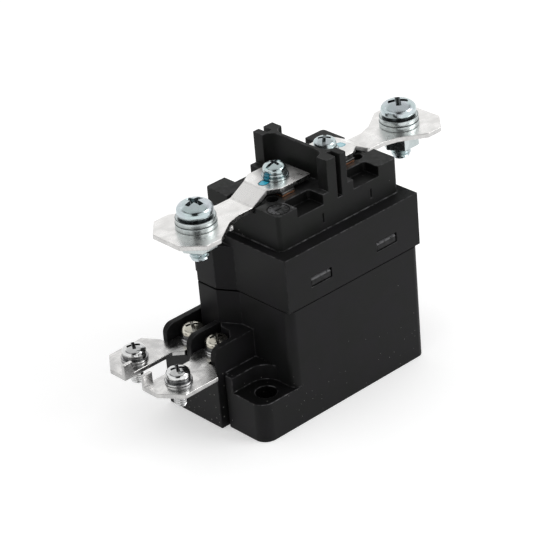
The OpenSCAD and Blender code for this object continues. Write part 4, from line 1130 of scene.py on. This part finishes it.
# The contact block: its height above the cover, its corner radius, and its dial mark's inset and radius
BLOCK_HEIGHT = 11 * MM
BLOCK_CORNER = 1.3 * MM
DIAL_INSET = 3.5 * MM
DIAL_REACH = 3.3 * MM

# Its side pockets: their stretch along X, the inner side along Y, and the stretch down from the block's top
POCKETS_ALONG = in_mm(5.9, 16)
POCKET_SIDE = 9.3 * MM
POCKET_DEPTH = in_mm(0.2, 3.1)


class RELAY_OT_contact_block(RelayOperator):
    """Makes the contact block with its barrier, pockets and dial mark"""

    bl_idname = "relay.contact_block"
    bl_label = "Contact Block"

    def base_bead(self, reach, base):
        """The fine bead in the corner between the block and the cover, drawn pale all over as a painted
        highlight.
        """
        radius = self.sizes.bead
        bead = grown(
            "bead", "base_bead", [(0, 0, base + radius * 0.3, 0)], SMOOTH_ROUND,
            Length=2 * reach.x + radius, Width=2 * reach.y + radius,
            Corner_Radius=BLOCK_CORNER, Bead_Radius=radius,
        )
        # The whole bead is drawn pale: a painted highlight line round the block's base
        mark(bead, "edge", lambda place, way: 1.7)
        return bead

    def execute(self, context):
        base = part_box("case_cover")[1].z
        foot = [v.co for v in NODES["contact_block"].data.vertices if v.co.z > base + 2 * MM]
        reach = Vector((max(p.x for p in foot), max(p.y for p in foot)))
        top = base + BLOCK_HEIGHT
        dial = Vector((DIAL_INSET - reach.x, DIAL_INSET - reach.y, top))
        block = softened("contact_block", self.sizes.mould_edge, limit=beside_mark(dial, DIAL_REACH))
        edges_lit_from_above(block)
        # The top face is painted a little paler, partly as mottling and partly as light falling from above;
        # the dial mark paler still
        for face, worn_and_lit_edge in faces_with_edge_wear_and_light(block):
            if face.normal.z > 0.95 and abs(face.center.z - top) < 0.1 * MM:
                worn_and_lit_edge.value = 1.5 if (face.center.xy - dial.xy).length < DIAL_REACH else 0.26

        # Painted shade in the dial mark's groove and in the side pockets
        def painted_shade_share(place, way):
            on_dial = (place.xy - dial.xy).length < DIAL_REACH + 0.1 * MM
            if on_dial and top - 1 * MM < place.z < top - 0.01 * MM:
                return 1.0
            along = POCKETS_ALONG[0] < abs(place.x) < POCKETS_ALONG[1]
            across = POCKET_SIDE < abs(place.y) < reach.y - 0.1 * MM
            deep = top - POCKET_DEPTH[1] < place.z < top - POCKET_DEPTH[0]
            return 0.75 if along and across and deep else 0.0

        mark(block, "grime", painted_shade_share)
        mesh = joined([block, self.base_bead(reach, base)], "terminal_plinth_mesh")
        put_in_place(mesh, "terminal_plinth", ["contact_block"], "block")
        return {"FINISHED"}


# How far out along X the parts of the strips lie that are close to the plastic
STRIP_INSIDE = 23 * MM


def strip_side_shade(place, way):
    """Painted shade on the cut sides of a strip, darker over the contact block."""
    if abs(way.z) > 0.4:
        return 0.0
    return 0.85 if abs(place.x) < STRIP_INSIDE else 0.35


class RELAY_OT_strips(RelayOperator):
    """Makes the two busbars, the two coil plates and the copper straps"""

    bl_idname = "relay.strips"
    bl_label = "Busbars and Plates"

    def execute(self, context):
        for node, name, finish, slot in (
            ("busbar_front", "front_busbar", "strip", "busbar_plating"),
            ("busbar_rear", "rear_busbar", "strip", "busbar_plating"),
            ("coil_plate_near", "near_coil_plate", "coil_strip", "busbar_plating"),
            ("coil_plate_far", "far_coil_plate", "coil_strip", "busbar_plating"),
            ("fixed_contact_front", "front_contact_strap", "strap", "copper"),
            ("fixed_contact_rear", "rear_contact_strap", "strap", "copper"),
        ):
            mesh = softened(node, self.sizes.strip_edge, self.sizes.strip_bend, 3)
            mark(mesh, "grime", strip_side_shade)
            put_in_place(mesh, name, [node], finish)
        return {"FINISHED"}


class RELAY_OT_screws(RelayOperator):
    """Makes the large screws, the clamp screws and the coil screws"""

    bl_idname = "relay.screws"
    bl_label = "Screws"

    def paint_head_shade(self, mesh, middles, wide, foot, tall, gap, recess_shade):
        """Painted shade in the driver recess, on the heads' undersides and in the gap under each head."""

        def share(place, way):
            out = share_out(place, middles, wide)
            up = (place.z - foot) / tall
            if place.z < foot + 0.1 * MM:
                return 1.0 if place.z > foot - gap else 0.0
            if way.z < -0.5 or up < 0.04:
                return 1.0
            return recess_shade if up > 0.25 and out < 0.72 and up < dome_height(out) - 0.045 else 0.0

        mark(mesh, "grime", share)

    def execute(self, context):
        s = self.sizes
        large = (s.main_head_height, s.main_thread, s.main_pitch, s.neck_diameter, s.neck_height)
        small = (s.small_head_height, s.small_thread, s.small_pitch, s.small_thread * 0.7, 0.1 * MM)
        for node, name, axis, turns, finish, slot, slotted in (
            ("main_screws", "large_screws", 0, (5, 50), "zinc", "zinc_screw", False),
            ("clamp_screws", "clamping_screws", 0, (2, 42), "zinc_clamp", "zinc_screw", True),
            ("coil_outer_screws", "outer_coil_screws", 1, (60, 60), "pale_zinc", "zinc_screw", False),
            ("coil_inner_screws", "inner_coil_screws", 1, (60, 60), "nickel", "nickel_screw", True),
        ):
            wide, low, high, middles = pair_along(axis, node)
            is_large = node == "main_screws"
            tall, thread, pitch, neck, neck_height = large if is_large else small
            seat = high - tall
            mesh = grown(
                "screw", name, [(*middle, seat, turn) for middle, turn in zip(middles, turns)],
                Thread_Diameter=thread, Pitch=pitch, Thread_Depth=s.thread_depth * pitch / MM,
                Head_Diameter=wide, Head_Height=tall, Length=seat - low,
                Neck_Diameter=neck, Neck_Height=neck_height, Slotted=slotted,
            )
            # How far below each head the painted shade reaches, and how dark the recess is drawn
            gap = s.neck_height + 0.1 * MM if is_large else 0.3 * MM
            self.paint_head_shade(mesh, middles, wide, seat, tall, gap, 0.6 if is_large else 0.8)
            put_in_place(mesh, name, [node], finish)
        return {"FINISHED"}


# How much wider a ring's or insert's bore is than the thread that goes through it
BORE_PLAY = 0.04 * MM


class RELAY_OT_washers(RelayOperator):
    """Makes the flat washers and the split spring washers"""

    bl_idname = "relay.washers"
    bl_label = "Washers"

    def ring(self, kind, name, wide, thread, low, high, middles, turn=0.0, dark=0.0):
        """One ring at each place, with painted shade in the grooves beside it and, on dark ones, round it."""
        mesh = grown(
            kind, name, [(*middle, low, turn) for middle in middles],
            Outer_Diameter=wide, Bore=thread + BORE_PLAY, Thickness=high - low,
            Edge_Radius=self.sizes.washer_edge, Split=self.sizes.split_gap,
        )

        def share(place, way):
            if share_out(place, middles, wide) < 0.9 or abs(way.z) > 0.98:
                return 0.0
            return 0.85 if abs(way.z) > 0.3 else dark

        mark(mesh, "grime", share)
        return mesh

    def execute(self, context):
        s = self.sizes
        for kind, node, name, thread, turn, finish in (
            ("flat", "main_flat_washers", "large_flat_washers", s.main_thread, 0, "zinc_washer"),
            ("split", "main_spring_washers", "large_spring_washers", s.main_thread, 40, "zinc_washer"),
            ("flat", "clamp_flat_washers", "clamping_flat_washers", s.small_thread, 0, "zinc_clamp"),
            ("split", "clamp_spring_washers", "clamping_spring_washers", s.small_thread, 40, "zinc_clamp"),
        ):
            wide, low, high, middles = pair_along(0, node)
            mesh = self.ring(kind, name, wide, thread, low, high, middles, turn)
            put_in_place(mesh, name, [node], finish)
        far, near = (pair_along(1, node)[3] for node in ("coil_outer_screws", "coil_inner_screws"))
        for kind, node, name, turn, dark in (
            ("flat", "coil_flat_washers", "coil_flat_washer_rings", 0, 0.0),
            ("split", "coil_spring_washers", "coil_spring_washer_rings", 40, 0.85),
        ):
            low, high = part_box(node)
            shape = (s.small_thread, low.z, high.z)
            parts = [
                self.ring(kind, name + "_outer", 2 * (far[0][0] - low.x), *shape, far, turn, dark),
                self.ring(kind, name + "_inner", 2 * (high.x - near[0][0]), *shape, near, turn, dark),
            ]
            put_in_place(joined(parts, name), name, [node], "pale_washer")
        return {"FINISHED"}


class RELAY_OT_nuts(RelayOperator):
    """Makes the hexagon nuts, the square nuts and the knurled inserts"""

    bl_idname = "relay.nuts"
    bl_label = "Nuts and Inserts"

    def execute(self, context):
        for node, name, edge, finish, slot in (
            ("main_nuts", "weld_nuts", 0.35 * MM, "zinc_washer", "zinc_screw"),
            ("coil_nuts", "square_nuts", 0.25 * MM, "nickel", "nickel_screw"),
        ):
            put_in_place(softened(node, edge), name, [node], finish)
        wide, low, high, middles = pair_along(0, "clamp_inserts")
        mesh = grown(
            "knurl", "knurled_inserts", [(*middle, low, 0) for middle in middles],
            Outer_Diameter=wide, Bore=self.sizes.small_thread + BORE_PLAY, Height=high - low,
            Knurls=self.sizes.knurls,
        )
        put_in_place(mesh, "knurled_inserts", ["clamp_inserts"], "brass")
        return {"FINISHED"}


class RELAY_OT_coils(RelayOperator):
    """Makes the return spring, the contact spring and the winding"""

    bl_idname = "relay.coils"
    bl_label = "Springs and Winding"

    def coil(self, node, name, wire, turns, sides=10, steps=28):
        """A coil of round wire that fills the box of a CAD node."""
        low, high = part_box(node)
        return grown(
            "coil", name, [((low.x + high.x) / 2, (low.y + high.y) / 2, low.z, 0)], SMOOTH_ROUND,
            Outer_Diameter=high.x - low.x, Wire=wire, Height=high.z - low.z, Turns=turns,
            Sides=sides, Steps=steps,
        )

    def inner_layers(self, wire):
        """The winding's solid ring, drawn in so that the outer layer of wire lies on it."""
        low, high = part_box("winding")
        middle = Vector(((low.x + high.x) / 2, (low.y + high.y) / 2))
        reach = (high.x - low.x) / 2
        bm = clean_copy("winding")
        for vert in bm.verts:
            out = vert.co.xy - middle
            if out.length > reach * 0.9:
                vert.co.xy = middle + out * ((reach - wire * 0.62) / out.length)
        return plain_mesh(bm, "inner_layers")

    def execute(self, context):
        s = self.sizes
        mesh = self.coil("return_spring", "plunger_return_spring", s.return_wire, s.return_turns)
        put_in_place(mesh, "plunger_return_spring", ["return_spring"], "spring")
        mesh = self.coil("contact_spring", "bridge_contact_spring", s.contact_wire, s.contact_turns)
        put_in_place(mesh, "bridge_contact_spring", ["contact_spring"], "spring", "armature")
        low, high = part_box("winding")
        turns = math.floor((high.z - low.z) / s.coil_wire) - 1
        outside = self.coil("winding", "outer_layer", s.coil_wire, turns, 6, 48)
        mesh = joined([outside, self.inner_layers(s.coil_wire)], "wound_coil")
        put_in_place(mesh, "wound_coil", ["winding"], "enamel")
        return {"FINISHED"}


# The camera as it was fitted to the photo: its angles in degrees, its place and its lens
CAMERA_TURN, CAMERA_RISE, CAMERA_ROLL = 40.41, 29.15, -5.246
CAMERA_PLACE = (-0.40455, -0.45764, 0.37489)
CAMERA_LENS = 160.3

# The place and side length of each lamp, and the point that they all look at
LAMPS = {
    "top": ((0.05, 0.1, 0.72), 1.2),
    "side": ((0.42, -0.55, 0.42), 0.4),
    "left": ((-0.65, 0.1, 0.4), 0.4),
}
LAMP_TARGET = (-0.005, 0.0, 0.035)

# The level way from the relay to the tall dark opening in the pale studio, which domed metal shows as a dark
# spot, and how far to its sides it is dark and pale again
OPENING_WAY = (-0.663, -0.749)
OPENING_DARK, OPENING_PALE = 0.28, 0.36

FLOOR_REACH = 3.0


def seen(g):
    """One where a ray from the camera, a mirror or a clear part looks, and nought where a surface is lit."""
    rays = g.add("ShaderNodeLightPath").outputs
    looks = g.plus(rays["Is Camera Ray"], rays["Is Glossy Ray"])
    return g.plus(looks, rays["Is Transmission Ray"], clamp=True)


class RELAY_OT_stage(RelayOperator):
    """Makes the floor, the light and the camera"""

    bl_idname = "relay.stage"
    bl_label = "Stage"

    def execute(self, context):
        scene = context.scene
        light = scene.relay_light
        self.camera(scene)
        for key, (place, size) in LAMPS.items():
            self.lamp(scene, key + "_lamp", place, size, getattr(light, key))
        self.world(scene, light.sky)
        self.floor(scene, tuple(light.floor), light.glow)
        scene.view_settings.view_transform = "Standard"
        return {"FINISHED"}

    def camera(self, scene):
        data = bpy.data.cameras.new("photo_camera")
        data.sensor_width = 36.0
        data.lens = CAMERA_LENS
        data.clip_start, data.clip_end = 0.01, 20.0
        camera = bpy.data.objects.new("photo_camera", data)
        turn, rise, roll = (math.radians(angle) for angle in (CAMERA_TURN, CAMERA_RISE, CAMERA_ROLL))
        level = math.cos(rise)
        back = Vector((-level * math.sin(turn), -level * math.cos(turn), math.sin(rise)))
        right = (-back).cross(Vector((0, 0, 1))).normalized()
        up = right.cross(-back)
        across = right * math.cos(roll) + up * math.sin(roll)
        above = up * math.cos(roll) - right * math.sin(roll)
        place = Matrix((across, above, back)).transposed().to_4x4()
        place.translation = Vector(CAMERA_PLACE)
        camera.matrix_world = place
        scene.collection.objects.link(camera)
        scene.camera = camera

    def lamp(self, scene, name, place, size, power):
        """A square soft lamp that looks at the relay."""
        data = bpy.data.lights.new(name, "AREA")
        data.shape = "SQUARE"
        data.size = size
        data.energy = power
        lamp = bpy.data.objects.new(name, data)
        lamp.location = place
        lamp.rotation_euler = (Vector(LAMP_TARGET) - Vector(place)).to_track_quat("-Z", "Y").to_euler()
        scene.collection.objects.link(lamp)

    def world(self, scene, fill):
        """White where it is seen, darker above and in one tall opening, and an even fill where it lights."""
        world = bpy.data.worlds.new("Studio")
        world.use_nodes = True
        world.node_tree.nodes.clear()
        g = Graph(world.node_tree)
        way = g.add("ShaderNodeTexCoord").outputs["Generated"]
        ceiling = g.ramp(g.split(way)[2], 0.5, 0.72, 1.0, 0.12)
        aside = g.calc("ABSOLUTE", g.vector("DOT_PRODUCT", way, (-OPENING_WAY[1], OPENING_WAY[0], 0.0)))
        front = g.ramp(g.vector("DOT_PRODUCT", way, (*OPENING_WAY, 0.0)), 0.1, 0.2)
        opening = g.times(g.ramp(aside, OPENING_PALE, OPENING_DARK), front)
        opening = g.times(opening, g.add("ShaderNodeLightPath").outputs["Is Glossy Ray"])
        ceiling = g.times(ceiling, g.line(opening, -0.97, 1.0))
        strength = g.line(seen(g), g.minus(ceiling, fill), fill)
        backdrop = g.add("ShaderNodeBackground", {"Color": (1.0, 1.0, 1.0, 1.0), "Strength": strength})
        g.add("ShaderNodeOutputWorld", {"Surface": backdrop})
        scene.world = world

    def floor(self, scene, tone, glow):
        """A pale floor that keeps the relay's shadow and is seen nearly white."""
        corners = [(x * FLOOR_REACH, y * FLOOR_REACH, 0) for x, y in ((-1, -1), (1, -1), (1, 1), (-1, 1))]
        mesh = bpy.data.meshes.new("floor")
        mesh.from_pydata(corners, [], [(0, 1, 2, 3)])
        material, g, shader, place = blank_material("Pale Floor")
        paint = g.mix(g.noise(place, 4.0, 1.0), tone, scaled(tone, 0.995))
        g.fill(shader, Base_Color=paint, Roughness=0.9, Specular_IOR_Level=0.1)
        g.fill(shader, Emission_Color=(1.0, 1.0, 1.0, 1.0), Emission_Strength=g.times(seen(g), glow))
        mesh.materials.append(material)
        floor = bpy.data.objects.new("floor", mesh)
        scene.collection.objects.link(floor)


class RELAY_PT_panel(bpy.types.Panel):
    """The relay's operators and sizes"""

    bl_idname = "RELAY_PT_panel"
    bl_label = "Starter Relay"
    bl_space_type = "VIEW_3D"
    bl_region_type = "UI"
    bl_category = "Relay"

    def draw(self, context):
        layout = self.layout
        for maker in STEPS:
            layout.operator(maker.bl_idname)
        for settings in (context.scene.relay_sizes, context.scene.relay_colours, context.scene.relay_light):
            box = layout.box()
            for key in settings.__annotations__:
                box.prop(settings, key)


STEPS = (
    RELAY_OT_finishes,
    RELAY_OT_lower_case,
    RELAY_OT_cover,
    RELAY_OT_contact_block,
    RELAY_OT_strips,
    RELAY_OT_screws,
    RELAY_OT_washers,
    RELAY_OT_nuts,
    RELAY_OT_coils,
    RELAY_OT_stage,
)
CLASSES = (RelaySizes, RelayColours, RelayLight, *STEPS, RELAY_PT_panel)


def register():
    for cls in CLASSES:
        bpy.utils.register_class(cls)
    bpy.types.Scene.relay_sizes = PointerProperty(type=RelaySizes)
    bpy.types.Scene.relay_colours = PointerProperty(type=RelayColours)
    bpy.types.Scene.relay_light = PointerProperty(type=RelayLight)


def unregister():
    del bpy.types.Scene.relay_sizes, bpy.types.Scene.relay_colours, bpy.types.Scene.relay_light
    for cls in reversed(CLASSES):
        bpy.utils.unregister_class(cls)


def main():
    """Builds the whole relay."""
    register()
    for step in STEPS:
        area, name = step.bl_idname.split(".")
        getattr(getattr(bpy.ops, area), name)()


if __name__ == "__main__":
    main()
